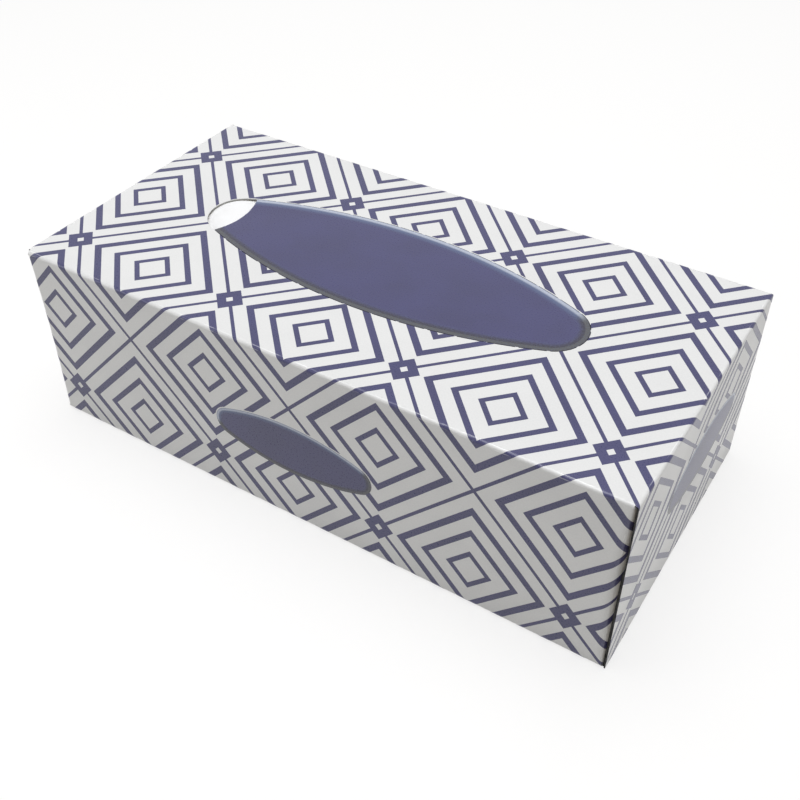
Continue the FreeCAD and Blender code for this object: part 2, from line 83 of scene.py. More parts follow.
# Limits for rounding: of plain numbers, of lengths in millimetres, and of a triangle's area.
TINY = 1e-9
SMALL = 1e-6
SLACK = 1e-3
MERGE_LENGTH = 1e-4
SLIVER_AREA = 1e-7

# The least angles in degrees at which the board's and the tissues' edges show sharp.
BOARD_SHARP = 40
TISSUE_SHARP = 70

BLANK_ATTRIBUTE = "blank"
FOLD_ATTRIBUTE = "fold"
RIM_ATTRIBUTE = "rim"
LIT_ATTRIBUTE = "lit"

Colour = tuple[float, float, float, float]
Triple = tuple[float, float, float]
Window = tuple[float, float, float, float]
Material = bpy.types.Material
Node = bpy.types.Node
Socket = bpy.types.NodeSocket
Tree = bpy.types.NodeTree

WHITE: Colour = (1.0, 1.0, 1.0, 1.0)

log = logging.getLogger("tissue_box")


class Slot(str, Enum):
    """Names of the record's material slots."""

    BOARD = "board"
    TISSUE = "tissue"
    NAVY = "navy_ink"
    PALE = "pale_ink"


class Panel(IntEnum):
    """The blank's panels in their order round the box."""

    BACK = 0
    TOP = 1
    FRONT = 2
    BOTTOM = 3
    GLUE_FLAP = 4


class Label(IntEnum):
    """What is printed on a face of the blank."""

    BARE = 0
    LATTICE = 1
    FIELD = 2
    RIM = 3


@dataclass(frozen=True)
class CartonSize:
    """Sizes of the folded carton in millimetres: the CAD frame's, with crisper folds.

    Args:
        length, width, height: outside sizes of the box.
        board: thickness of the board.
        layer_gap: glue film between two layers.
        fold_radius, end_fold_radius, dust_fold_radius: outside radii of the folds.
        run_on: how far the long folds run on past the place where the dust flaps start to turn.
        notch: half width of the cut that parts two flaps at a corner.
        corner_cut: how far the end flaps' side edges lie inside the corners.
        front_cuts: the same at the top's front corners, right and left.
        flap_front_cuts: the same at the end flaps' front edges, right and left.
        settle: depths under the top between which an end flap's front edge goes from one to the other.
        flap_inset: how far under the top's face, and over the bottom's, the dust flaps' edges lie.
        foot_gap: height of the free lower edges.
        seam_flap, inner_flap, dust_flap: reach of the three kinds of hidden flap.
        shoulder: length over which a flap widens from its hinge.
        bleed: how far the print runs on over the dust flaps.
        foot_bleed: how far it runs on past the middle of the front's lower fold.
    """

    length: float = 231.0
    width: float = 115.0
    height: float = 73.0
    board: float = 0.5
    layer_gap: float = 0.1
    fold_radius: float = 2.0
    end_fold_radius: float = 0.9
    dust_fold_radius: float = 0.9
    run_on: float = 0.7
    notch: float = 0.25
    corner_cut: float = 0.45
    front_cuts: tuple[float, float] = (0.35, 2.0)
    flap_front_cuts: tuple[float, float] = (0.35, 2.4)
    settle: tuple[float, float] = (1.0, 2.5)
    flap_inset: float = 0.55
    foot_gap: float = 0.8
    seam_flap: float = 17.0
    inner_flap: float = 44.0
    dust_flap: float = 40.0
    shoulder: float = 0.4
    bleed: float = 5.0
    foot_bleed: float = 1.0

    @property
    def dust_face(self) -> float:
        """Distance of a dust flap's outer face from the middle of the box."""
        return self.length / 2 - 2 * (self.board + self.layer_gap)

    @property
    def inner_face(self) -> float:
        """Distance of an inner flap's outer face from the middle of the box."""
        return self.length / 2 - self.board - self.layer_gap

    @property
    def sleeve_end(self) -> float:
        """Distance of the long folds' ends from the middle of the box."""
        return self.dust_face - self.dust_fold_radius + self.run_on

    @property
    def seam_face(self) -> float:
        """Distance of the glue flap's outer face behind the middle of the box."""
        return self.width / 2 - self.board - self.layer_gap


@dataclass(frozen=True)
class Softness:
    """How a used carton departs from flat panels and even folds, in millimetres.

    Args:
        left_radius, right_radius: radius of the two long top folds at their two ends.
        left_swell, right_swell: how much the front's and back's end bends open at mid height.
        ease: length beside such a bend over which the panel makes room for it.
        top_dent, front_dent, back_dent, bottom_dent, end_dent: deepest inward bow of each panel.
        thumb_sag: how far the tear-out panel sags beside the thumb hole.
        sag_reach, sag_margin: length over which that sag fades, and over which it sets in at the outline.
        end_dent_floor: height under which the end flaps stay flat on the glued layers.
        back_dent_floor: height under which the back stays flat on the glued seam.
        wave, wave_span: length of the dents' waves, and the width that each panel counts for in them.
        wave_mix: even and wavy share of a dent.
        wave_seed: how far apart two panels' waves lie in the noise.
    """

    left_radius: float = 1.4
    right_radius: float = 0.9
    left_swell: float = 1.3
    right_swell: float = 3.3
    ease: float = 20.0
    top_dent: float = 0.45
    front_dent: float = 0.75
    back_dent: float = 0.6
    bottom_dent: float = 0.25
    end_dent: float = 0.4
    thumb_sag: float = 0.35
    sag_reach: float = 22.0
    sag_margin: float = 9.0
    end_dent_floor: float = 46.0
    back_dent_floor: float = 24.0
    wave: float = 70.0
    wave_span: float = 90.0
    wave_mix: tuple[float, float] = (0.55, 0.45)
    wave_seed: tuple[float, float] = (3.7, 0.31)


@dataclass(frozen=True)
class Lattice:
    """The printed lattice of diamonds, in millimetres on the blank.

    Args:
        cell_length, cell_width: repeat along the box and round it.
        left, back: first knot, from the box's left and back edges.
        line: width of the thin line, along the box.
        knot, knot_eye: half diagonals of a knot and of its bare middle.
        rings: inner half diagonal and width of each ring.
    """

    cell_length: float = 68.2
    cell_width: float = 71.9
    left: float = 11.4
    back: float = 27.1
    line: float = 1.65
    knot: float = 5.7
    knot_eye: float = 1.5
    rings: tuple[tuple[float, float], ...] = ((5.9, 2.4), (14.9, 2.8), (23.8, 3.3))

    def printed(self, u: np.ndarray, s: np.ndarray) -> np.ndarray:
        """Tell which points lie on the lattice's ink.

        Args:
            u: distances from the box's left edge.
            s: distances from its back edge.

        Returns:
            One truth value per point.
        """
        a = (u - self.left) / self.cell_length
        b = (s - self.back) / self.cell_width
        ink = np.zeros(len(u), bool)
        for slope in (1, -1):
            shift = a - slope * b
            ink |= np.abs(shift - np.round(shift)) * self.cell_length < self.line / 2
        from_knot = (np.abs(a - np.round(a)) + np.abs(b - np.round(b))) * self.cell_length
        ink |= from_knot < self.knot
        ink &= from_knot > self.knot_eye
        for half_a, half_b in ((0.5, 0.0), (0.0, 0.5)):
            near_a = np.abs(a - half_a - np.round(a - half_a))
            near_b = np.abs(b - half_b - np.round(b - half_b))
            reach = (near_a + near_b) * self.cell_length
            for inner, band in self.rings:
                ink |= (reach > inner) & (reach < inner + band)
        return ink


@dataclass(frozen=True)
class Oval:
    """A four-arc oval on the blank, in millimetres.

    Args:
        m, s: its middle on the blank.
        length, width: its axes.
        end_radius: radius of its two end arcs.
        along_m: whether its long axis runs along the box's length.
        up: direction in which the panel's upper side lies, as a sign along the short axis.
        rim: width of its graded rim.
        light: how much the rim's light comes from the left and from the upper side.
    """

    m: float
    s: float
    length: float
    width: float
    end_radius: float
    along_m: bool = True
    up: int = -1
    rim: float = 4.2
    light: tuple[float, float] = (0.60, 0.80)

    @property
    def side_radius(self) -> float:
        """Radius of the two long side arcs."""
        half, rise = self.length / 2, self.width / 2 - self.end_radius
        return (half**2 + (self.width / 2) ** 2 - 2 * half * self.end_radius) / (2 * rise)

    @property
    def end_centre(self) -> float:
        """Distance of an end arc's centre from the middle."""
        return self.length / 2 - self.end_radius

    @property
    def side_centre(self) -> float:
        """Distance of a side arc's centre from the middle, on the far side."""
        return self.side_radius - self.width / 2

    def local(self, m: np.ndarray, s: np.ndarray) -> tuple[np.ndarray, np.ndarray]:
        """Blank points as distances along and across the oval."""
        if self.along_m:
            return m - self.m, s - self.s
        return s - self.s, m - self.m

    def inset(self, m: np.ndarray, s: np.ndarray) -> np.ndarray:
        """How far inside the outline each point lies; negative outside it."""
        along, across = (np.abs(value) for value in self.local(m, s))
        at_end = (across + self.side_centre) * self.end_centre < self.side_centre * along
        from_end = self.end_radius - np.hypot(along - self.end_centre, across)
        from_side = self.side_radius - np.hypot(along, across + self.side_centre)
        return np.where(at_end, from_end, from_side)

    def lit(self, m: np.ndarray, s: np.ndarray) -> np.ndarray:
        """How much the outline near each point faces the oval's lit upper left, from -1 to 1."""
        along, across = self.local(m, s)
        at_end = self.side_centre * np.abs(along) > (np.abs(across) + self.side_centre) * self.end_centre
        x = np.where(at_end, along - np.sign(along) * self.end_centre, along)
        y = np.where(at_end, across, across + np.sign(across) * self.side_centre)
        from_left, from_upper = self.light
        return (y * self.up * from_upper - x * from_left) / (np.hypot(x, y) + TINY)

    def outline(self, inset: float, step: float) -> np.ndarray:
        """Points of the outline, moved inwards by inset and about step apart."""
        turn = math.atan2(self.side_centre, self.end_centre)
        end_count = max(4, round(self.end_radius * turn / step))
        side_count = max(4, round(self.side_radius * (QUARTER_TURN - turn) / step))
        at_end = np.linspace(0, turn, end_count, endpoint=False)
        at_side = np.linspace(turn, QUARTER_TURN, side_count + 1)
        quarter = np.concatenate([
            np.stack([self.end_centre + (self.end_radius - inset) * np.cos(at_end),
                      (self.end_radius - inset) * np.sin(at_end)], 1),
            np.stack([(self.side_radius - inset) * np.cos(at_side),
                      (self.side_radius - inset) * np.sin(at_side) - self.side_centre], 1)])
        half = np.concatenate([quarter, quarter[-2::-1] * (-1, 1)])
        loop = np.concatenate([half, half[-2:0:-1] * (1, -1)])
        if self.along_m:
            return loop + (self.m, self.s)
        return loop[:, ::-1] + (self.m, self.s)


@dataclass(frozen=True)
class Opening:
    """The tear-out oval's thumb hole and perforation, in millimetres.

    Args:
        oval: the outline that tears out.
        thumb_reach: length of the thumb hole.
        thumb_radius: radius of the thumb hole's inner edge.
        thumb_turn, thumb_points: how far that edge is drawn to each side, and with how many points.
        slit, slit_pitch, nick: width, repeat and bridge of the perforation.
        spacing: distance of the points on its line.
    """

    oval: Oval
    thumb_reach: float = 12.5
    thumb_radius: float = 30.0
    thumb_turn: float = 1.15
    thumb_points: int = 90
    slit: float = 0.2
    slit_pitch: float = 10.0
    nick: float = 1.1
    spacing: float = 1.0

    @property
    def hole_middle(self) -> Triple:
        """The thumb hole's middle on the blank."""
        return self.oval.m - self.oval.length / 2 + self.thumb_reach / 2, self.oval.s, 0.0

    @property
    def thumb_centre(self) -> float:
        """Where the circle of the thumb hole's inner edge has its centre, along the box."""
        return self.oval.m - self.oval.length / 2 + self.thumb_reach - self.thumb_radius

    def from_thumb(self, m: np.ndarray, s: np.ndarray) -> np.ndarray:
        """How far each point lies outside the thumb hole's circle."""
        return np.hypot(m - self.thumb_centre, s - self.oval.s) - self.thumb_radius

    def slit_starts(self) -> tuple[np.ndarray, np.ndarray, np.ndarray]:
        """The outline's corners, the length to each, and the places of the nicks' two edges."""
        corners = self.oval.outline(0.0, self.spacing)
        closed = np.concatenate([corners, corners[:1]])
        lengths = np.concatenate([[0.0], np.cumsum(np.linalg.norm(np.diff(closed, axis=0), axis=1))])
        count = round(lengths[-1] / self.slit_pitch)
        middles = (np.arange(count) + 0.5) * lengths[-1] / count
        edges = np.concatenate([middles - self.nick / 2, middles + self.nick / 2])
        return closed, lengths, edges

    def in_nick(self, m: np.ndarray, s: np.ndarray) -> np.ndarray:
        """Tell which points near the outline lie in an uncut bridge."""
        closed, lengths, _ = self.slit_starts()
        start, run = closed[:-1], np.diff(closed, axis=0)
        size = np.linalg.norm(run, axis=1)
        result = np.zeros(len(m), bool)
        pitch = lengths[-1] / round(lengths[-1] / self.slit_pitch)
        for index, point in enumerate(np.stack([m, s], 1)):
            share = np.clip(((point - start) * run).sum(1) / size**2, 0, 1)
            gap = np.linalg.norm(start + run * share[:, None] - point, axis=1)
            nearest = int(gap.argmin())
            place = lengths[nearest] + share[nearest] * size[nearest]
            result[index] = abs(place % pitch - pitch / 2) < self.nick / 2
        return result


class Folding:
    """The mapping from the flat blank to the closed box.

    m runs along the blank from its middle, s round the box from its back top edge, and lift is the
    height over the board's outer face. PARTING_SHIFTS are the places where two flaps part at a corner,
    from the middle of each long fold.
    """

    PARTING_SHIFTS = (-0.05, 0.1, 0.1, 1.0)

    def __init__(self, size: CartonSize, soft: Softness, opening: Opening) -> None:
        self.size = size
        self.soft = soft
        self.opening = opening
        half, radius = size.width / 2, size.fold_radius
        self.corners = np.array([
            (half, size.height), (-half, size.height), (-half, 0.0), (size.seam_face, 0.0)])
        self.runs = np.array([(0.0, 1.0), (-1.0, 0.0), (0.0, -1.0), (1.0, 0.0), (0.0, 1.0)])
        self.normals = np.stack([self.runs[:, 1], -self.runs[:, 0]], 1)
        spans = np.abs(np.diff(self.corners, axis=0)).sum(1)
        first = radius * CORNER_LOSS
        self.folds = first + np.concatenate([[0.0], np.cumsum(spans - 2 * first)])
        self.back_foot = first - QUARTER_ARC * radius - (size.height - radius - size.foot_gap)
        self.glue_end = self.folds[3] + QUARTER_ARC * radius + size.seam_flap
        self.faces = np.array([size.dust_face, size.length / 2, size.dust_face, size.inner_face, 0.0])
        self.end_radii = np.array([
            size.dust_fold_radius, size.end_fold_radius, size.dust_fold_radius, size.end_fold_radius, 0.0])
        self.end_folds = self.faces - self.end_radii * CORNER_LOSS
        self.partings = self.folds + self.PARTING_SHIFTS

    def flap_end(self, panel: Panel, depth: float) -> float:
        """The blank's m where a panel's end flap reaches a depth under the panel's face."""
        return float(self.end_folds[panel] + depth - self.end_radii[panel] * CORNER_LOSS)

    def panel_at(self, panel: Panel, depth: float) -> float:
        """The blank's s at a depth along a panel from its first corner."""
        return float(self.folds[panel - 1] - self.size.fold_radius * CORNER_LOSS + depth)

    def panels(self, m: np.ndarray, s: np.ndarray) -> np.ndarray:
        """The panel, or the panel that carries the flap, of each point."""
        sleeve = np.searchsorted(self.folds, s)
        flap = np.searchsorted(self.partings, s)
        return np.where(self.on_sleeve(m), sleeve, flap)

    def on_sleeve(self, m: np.ndarray) -> np.ndarray:
        """Tell which points lie between the two ends of the long folds."""
        return np.abs(m) < self.size.sleeve_end + SLACK

    def fold_radii(self, m: np.ndarray) -> np.ndarray:
        """The radius of each long fold at each m, as rows of four."""
        share = np.clip(m / self.size.length + 0.5, 0, 1)
        top = self.soft.left_radius + (self.soft.right_radius - self.soft.left_radius) * share
        foot = np.full_like(m, self.size.fold_radius)
        return np.stack([top, top, foot, foot], 1)

    def fold_distance(self, m: np.ndarray, s: np.ndarray) -> np.ndarray:
        """Distance on the blank to the nearest fold."""
        along = np.abs(s[:, None] - self.folds).min(1)
        end = np.abs(np.abs(m) - self.end_folds[self.panels(m, s)])
        return np.where(self.on_sleeve(m), np.minimum(along, end), end)

    def sections(self, m: np.ndarray, s: np.ndarray) -> tuple[np.ndarray, ...]:
        """Fold the points round the box.

        Returns:
            Each point's place and outward normal in the plane across the box, its panel, whether it
            lies on a flat, and its share of the way across its panel.
        """
        panel = self.panels(m, s)
        radii = self.fold_radii(m)
        sleeve = self.on_sleeve(m)
        place = np.zeros((len(m), 2))
        normal = self.normals[panel].copy()
        flat = np.ones(len(m), bool)
        share = np.zeros(len(m))
        for index, run in enumerate(self.runs):
            mine = panel == index
            before, after = max(index - 1, 0), min(index, len(self.folds) - 1)
            start_s = self.folds[before] + QUARTER_ARC * radii[mine, before]
            end_s = self.folds[after] - QUARTER_ARC * radii[mine, after]
            start = self.corners[before] + run * radii[mine, before, None]
            end = self.corners[after] - run * radii[mine, after, None]
            if index == Panel.BACK:
                place[mine] = end - run * (end_s - s[mine])[:, None]
                share[mine] = (s[mine] - self.back_foot) / (end_s - self.back_foot)
            elif index == Panel.GLUE_FLAP:
                place[mine] = start + run * (s[mine] - start_s)[:, None]
            else:
                share[mine] = (s[mine] - start_s) / (end_s - start_s)
                place[mine] = start + (end - start) * share[mine, None]
        for index, fold in enumerate(self.folds):
            radius = radii[:, index]
            mine = sleeve & (np.abs(s - fold) < QUARTER_ARC * radius)
            angle = (s - fold)[mine] / radius[mine] + QUARTER_ARC
            outward = (self.normals[index] * np.cos(angle)[:, None]
                       + self.normals[index + 1] * np.sin(angle)[:, None])
            centre = self.corners[index] + (self.runs[index + 1] - self.runs[index]) * radius[mine, None]
            place[mine] = centre + outward * radius[mine, None]
            normal[mine] = outward
            flat[mine] = False
        return place, normal, panel, flat, share

    def dents(self, x: np.ndarray, place: np.ndarray, panel: np.ndarray, share: np.ndarray) -> np.ndarray:
        """The inward bow of the sleeve's panels at each point."""
        soft, half = self.soft, self.size.sleeve_end
        depth = np.array([soft.back_dent, soft.top_dent, soft.front_dent, soft.bottom_dent, 0.0])[panel]
        across = np.clip(4 * share * (1 - share), 0, 1)
        back = panel == Panel.BACK
        floor = soft.back_dent_floor
        over_seam = np.clip((place[:, 1] - floor) / (self.size.height - floor), 0, 1)
        across = np.where(back, np.clip(4 * over_seam * (1 - over_seam), 0, 1), across)
        window = across**0.8 * np.clip(1 - (x / half) ** 2, 0, 1)
        even, wavy = soft.wave_mix
        seed_x, seed_z = soft.wave_seed
        waves = np.array([
            noise.noise((a / soft.wave + seed_x * p, b / soft.wave, seed_z * p))
            for a, b, p in zip(x, share * soft.wave_span, panel)])
        return depth * window * (even + wavy * waves)

    def end_dents(self, place: np.ndarray, fall: np.ndarray) -> np.ndarray:
        """The inward bow of an outer end flap's upper part, by the depth under the top."""
        soft, size = self.soft, self.size
        span = size.height - soft.end_dent_floor - size.end_fold_radius
        down = np.clip((fall - size.end_fold_radius) / span, 0, 1)
        side = np.clip(1 - (2 * place[:, 0] / size.width) ** 2, 0, 1)
        return soft.end_dent * 4 * down * (1 - down) * side**0.7

    def thumb_sag(self, m: np.ndarray, s: np.ndarray) -> np.ndarray:
        """How far the tear-out panel sags beside the thumb hole."""
        oval = self.opening.oval
        inside = np.clip(oval.inset(m, s) / self.soft.sag_margin, 0, 1)
        along = np.clip(1 - self.opening.from_thumb(m, s) / self.soft.sag_reach, 0, 1)
        return self.soft.thumb_sag * inside * along**2

    def fold(self, m: np.ndarray, s: np.ndarray, lift: float) -> np.ndarray:
        """Fold blank points into the closed box.

        Args:
            m, s: places on the blank in millimetres.
            lift: height over the board's outer face in millimetres.

        Returns:
            Points in metres in the row frame.
        """
        place, normal, panel, flat, share = self.sections(m, s)
        side = np.sign(m)
        reach = np.abs(m)
        face = self.faces[panel]
        radius = self.end_radii[panel].copy()
        dust = (panel == Panel.BACK) | (panel == Panel.FRONT)
        swell = np.clip(1 - (2 * place[:, 1] / self.size.height - 1) ** 2, 0, 1)
        most = np.where(m > 0, self.soft.right_swell, self.soft.left_swell)
        radius += np.where(dust, most * swell, 0.0)
        shift = (self.end_radii[panel] - radius) * CORNER_LOSS
        bend = self.end_folds[panel]
        start = bend - QUARTER_ARC * radius
        ease = np.clip((reach - (start - self.soft.ease)) / self.soft.ease, 0, 1)
        x = reach + shift * ease**2 * (3 - 2 * ease)
        fall = np.zeros_like(m)
        rise = np.full_like(m, lift)
        can_turn = flat & (panel != Panel.GLUE_FLAP)
        turning = can_turn & (reach > start) & (radius > 0)
        angle = np.clip((reach - start) / np.maximum(radius, SMALL), 0, QUARTER_TURN)
        x = np.where(turning, face - radius + (radius + lift) * np.sin(angle), x)
        rise = np.where(turning, -radius + (radius + lift) * np.cos(angle), rise)
        past = turning & (reach > start + 2 * QUARTER_ARC * radius)
        beyond = reach - start - 2 * QUARTER_ARC * radius
        rise = np.where(past, -radius - beyond, rise)
        fall = np.where(past, radius + beyond, fall)
        sleeve = self.on_sleeve(m) & flat
        rise = rise - np.where(sleeve, self.dents(x * side, place, panel, share), 0.0)
        outer = (panel == Panel.TOP) & past
        x = x - np.where(outer, self.end_dents(place, fall), 0.0)
        rise = rise - np.where(panel == Panel.TOP, self.thumb_sag(m, s), 0.0)
        across = place + normal * rise[:, None]
        return np.stack([x * side, across[:, 0], across[:, 1]], 1) * MM


class Drawing:
    """The line work that the blank is triangulated with."""

    def __init__(self) -> None:
        self.points: list[tuple[float, float]] = []
        self.edges: list[tuple[int, int]] = []

    def line(self, start: tuple[float, float], end: tuple[float, float]) -> None:
        """Add a straight line."""
        first = len(self.points)
        self.points += [(float(start[0]), float(start[1])), (float(end[0]), float(end[1]))]
        self.edges.append((first, first + 1))

    def path(self, points: np.ndarray, closed: bool = False) -> None:
        """Add a polyline, or a loop where closed is true."""
        first = len(self.points)
        self.points += [(float(x), float(y)) for x, y in points]
        count = len(points)
        self.edges += [(first + i, first + i + 1) for i in range(count - 1)]
        if closed:
            self.edges.append((first + count - 1, first))

    def clipped(self, start: np.ndarray, end: np.ndarray, window: Window) -> None:
        """Add the part of a line that lies in a window of m and s limits."""
        low, high = np.array(window[::2]), np.array(window[1::2])
        run = end - start
        enter, leave = 0.0, 1.0
        for axis in range(2):
            if abs(run[axis]) < TINY:
                if not low[axis] <= start[axis] <= high[axis]:
                    return
                continue
            near, far = sorted((limit[axis] - start[axis]) / run[axis] for limit in (low, high))
            enter, leave = max(enter, near), min(leave, far)
        if leave - enter > SMALL:
            self.line(start + run * enter, start + run * leave)


@dataclass
class Blank:
    """The flat die-cut sheet: its outline, folds, holes and print, and its triangles.

    Args:
        size: the carton's sizes.
        folding: the mapping to the closed box.
        lattice: the printed lattice.
        opening: the tear-out oval's cuts.
        ovals: all printed ovals, the opening's first.
        coarse, fine: spacing of the mesh lines on the flats and across a fold.
        fold_reach: how far the fine lines go to each side of a long fold.
        end_reach: how far they go before and past an end fold.
        margin: width of the bare ring along an oval's lit side.
        outline_step, rim_step: spacing of the points on an oval's outline and in its rim.
        rim_steps: places of the lines in a rim, of which the last is at its full depth.
        rim_margin, off_rim: how far outside an oval its rim's values reach, and the value beyond.
    """

    size: CartonSize
    folding: Folding
    lattice: Lattice
    opening: Opening
    ovals: tuple[Oval, ...]
    coarse: float = 7.0
    fine: float = 0.4
    fold_reach: float = 2.6
    end_reach: tuple[float, float] = (3.2, 3.6)
    margin: float = 0.5
    outline_step: float = 1.0
    rim_step: float = 1.5
    rim_steps: tuple[float, ...] = (0.2, 0.5, 0.9, 1.4, 2.0)
    rim_margin: float = 1.0
    off_rim: float = 10.0

    def __post_init__(self) -> None:
        self.outline = self.make_outline()
        self.windows = self.print_windows()
        drawing = Drawing()
        drawing.path(self.outline, closed=True)
        self.draw_grid(drawing)
        self.draw_lattice(drawing)
        self.draw_ovals(drawing)
        self.triangulate(drawing)

    def make_outline(self) -> np.ndarray:
        """The outline as corners in m and s, counter-clockwise."""
        size, fold = self.size, self.folding
        end, neck = size.sleeve_end, size.sleeve_end + size.shoulder
        foot, notch = QUARTER_ARC * size.fold_radius, size.notch
        low_back = fold.back_foot
        high_back = fold.panel_at(Panel.TOP, 2 * size.fold_radius * CORNER_LOSS - size.flap_inset)
        high_front = fold.panel_at(Panel.FRONT, size.flap_inset)
        low_front = fold.panel_at(Panel.FRONT, size.height - size.flap_inset)
        inner_far = fold.panel_at(
            Panel.BOTTOM, size.width - size.corner_cut - size.board - size.layer_gap)
        dust = fold.flap_end(Panel.FRONT, size.dust_flap)
        outer = fold.flap_end(Panel.TOP, size.height - size.foot_gap)
        inner = fold.flap_end(Panel.BOTTOM, size.inner_flap)
        hinge, settled = (fold.flap_end(Panel.TOP, depth) for depth in size.settle)
        sides = []
        for corner, front_cut in zip(size.front_cuts, size.flap_front_cuts):
            inner_near = fold.panel_at(Panel.BOTTOM, front_cut + size.board + size.layer_gap)
            sides.append([
                (end, low_back), (dust, low_back), (dust, high_back), (neck, high_back),
                (end, fold.folds[0] - notch), (end, fold.folds[0] + notch),
                (neck, size.corner_cut), (outer, size.corner_cut),
                (outer, size.width - front_cut), (settled, size.width - front_cut),
                (hinge, size.width - corner), (neck, size.width - corner),
                (end, fold.folds[1] - notch), (end, fold.folds[1] + notch),
                (neck, high_front), (dust, high_front), (dust, low_front), (neck, low_front),
                (end, fold.folds[2] - foot), (end, fold.folds[2] + foot),
                (neck, inner_near), (inner, inner_near), (inner, inner_far), (neck, inner_far),
                (end, fold.folds[3] - foot), (end, fold.folds[3] + foot),
                (end - size.shoulder, fold.glue_end),
            ])
        right, left = sides
        return np.array(right + [(-m, s) for m, s in reversed(left)])

    def print_windows(self) -> list[Window]:
        """The rectangles of the blank that carry the lattice, as low and high m and s."""
        size, fold = self.size, self.folding
        end, stop = size.sleeve_end, size.dust_face + size.bleed
        foot = fold.folds[2] + size.foot_bleed
        outer = float(self.outline[:, 0].max())
        windows = [(-end, end, fold.back_foot, foot)]
        for low, high, reach in (
                (fold.back_foot, fold.partings[0], stop),
                (fold.partings[0], fold.partings[1], outer),
                (fold.partings[1], fold.partings[2], stop)):
            windows += [(end, reach, low, high), (-reach, -end, low, high)]
        return windows

    def draw_grid(self, drawing: Drawing) -> None:
        """Add the mesh lines: fine ones across each fold and coarse ones on the flats."""
        size, fold = self.size, self.folding
        far = float(self.outline[:, 0].max())
        low, high = fold.back_foot, fold.glue_end
        reach = np.arange(-self.fold_reach, self.fold_reach + SLACK, self.fine)
        s_lines = list(np.concatenate([centre + reach for centre in fold.folds]))
        s_lines += list(self.spread(low, fold.folds[0] - self.fold_reach))
        for before, after in zip(fold.folds, fold.folds[1:]):
            s_lines += list(self.spread(before + self.fold_reach, after - self.fold_reach))
        s_lines += list(self.spread(fold.folds[3] + self.fold_reach, high))
        s_lines.append(fold.folds[2] + size.foot_bleed)
        for s in s_lines:
            drawing.line((-far, s), (far, s))
        bend = float(fold.end_folds[Panel.FRONT])
        before, past = self.end_reach
        m_lines = list(bend + np.arange(-before, past, self.fine))
        m_lines += [size.sleeve_end, size.dust_face + size.bleed]
        m_lines += list(self.spread(0.0, bend - before)) + list(self.spread(bend + past, far))
        for m in m_lines:
            drawing.line((m, low), (m, high))
            if m > 0:
                drawing.line((-m, low), (-m, high))

    def spread(self, low: float, high: float) -> np.ndarray:
        """Even steps of about the coarse spacing."""
        return np.linspace(low, high, max(2, round((high - low) / self.coarse) + 1))[:-1]

    def draw_lattice(self, drawing: Drawing) -> None:
        """Add the edges of the printed lattice inside the print windows."""
        pattern, size = self.lattice, self.size
        stretch = pattern.cell_width / pattern.cell_length
        origin = pattern.left - size.length / 2
        for window in self.windows:
            columns = self.cells(window[0], window[1], origin, pattern.cell_length)
            rows = self.cells(window[2], window[3], pattern.back, pattern.cell_width)
            first_s = pattern.back + rows[0] * pattern.cell_width
            last_s = pattern.back + rows[-1] * pattern.cell_width
            for slope in (1, -1):
                shifts = [column - slope * row
                          for column in (columns[0], columns[-1]) for row in (rows[0], rows[-1])]
                for number in range(min(shifts), max(shifts) + 1):
                    for side in (-pattern.line / 2, pattern.line / 2):
                        ends = [np.array((origin + pattern.cell_length * number + side
                                          + slope * (s - pattern.back) / stretch, s))
                                for s in (first_s, last_s)]
                        drawing.clipped(ends[0], ends[1], window)
            for column in columns:
                for row in rows:
                    self.draw_cell(drawing, window, origin, column, row, stretch)

    def draw_cell(self, drawing: Drawing, window: Window, origin: float,
                  column: int, row: int, stretch: float) -> None:
        """Add the knot and the two sets of rings of one cell."""
        pattern = self.lattice
        ring_sizes = [edge for inner, band in pattern.rings for edge in (inner, inner + band)]
        knot_sizes = [pattern.knot, pattern.knot_eye]
        motifs = [(0.0, 0.0, knot_sizes), (0.5, 0.0, ring_sizes), (0.0, 0.5, ring_sizes)]
        for half_column, half_row, halves in motifs:
            m = origin + (column + half_column) * pattern.cell_length
            s = pattern.back + (row + half_row) * pattern.cell_width
            for half in halves:
                corners = np.array([
                    (m + half, s), (m, s + half * stretch), (m - half, s), (m, s - half * stretch)])
                for start, end in zip(corners, np.roll(corners, -1, axis=0)):
                    drawing.clipped(start, end, window)

    @staticmethod
    def cells(low: float, high: float, start: float, pitch: float) -> list[int]:
        """The numbers of the lattice cells that touch a range."""
        return list(range(math.floor((low - start) / pitch) - 1, math.ceil((high - start) / pitch) + 2))

    def draw_ovals(self, drawing: Drawing) -> None:
        """Add the ovals' outlines, the steps of their rims, the thumb hole and the perforation."""
        for index, oval in enumerate(self.ovals):
            drawing.path(oval.outline(-self.margin, self.rim_step), closed=True)
            if index:
                drawing.path(oval.outline(0.0, self.outline_step), closed=True)
            for step in self.rim_steps:
                inset = step * oval.rim / self.rim_steps[-1]
                drawing.path(oval.outline(inset, self.rim_step), closed=True)
        opening = self.opening
        for inset in (-opening.slit / 2, opening.slit / 2):
            drawing.path(opening.oval.outline(inset, opening.spacing), closed=True)
        closed, lengths, edges = opening.slit_starts()
        for place in edges:
            index = int(np.searchsorted(lengths, place) - 1)
            run = (closed[index + 1] - closed[index]) / (lengths[index + 1] - lengths[index])
            point = closed[index] + run * (place - lengths[index])
            across = np.array((-run[1], run[0])) * opening.slit
            drawing.line(point - across, point + across)
        turn = np.linspace(-opening.thumb_turn, opening.thumb_turn, opening.thumb_points)
        drawing.path(np.stack([opening.thumb_centre + opening.thumb_radius * np.cos(turn),
                               opening.oval.s + opening.thumb_radius * np.sin(turn)], 1))

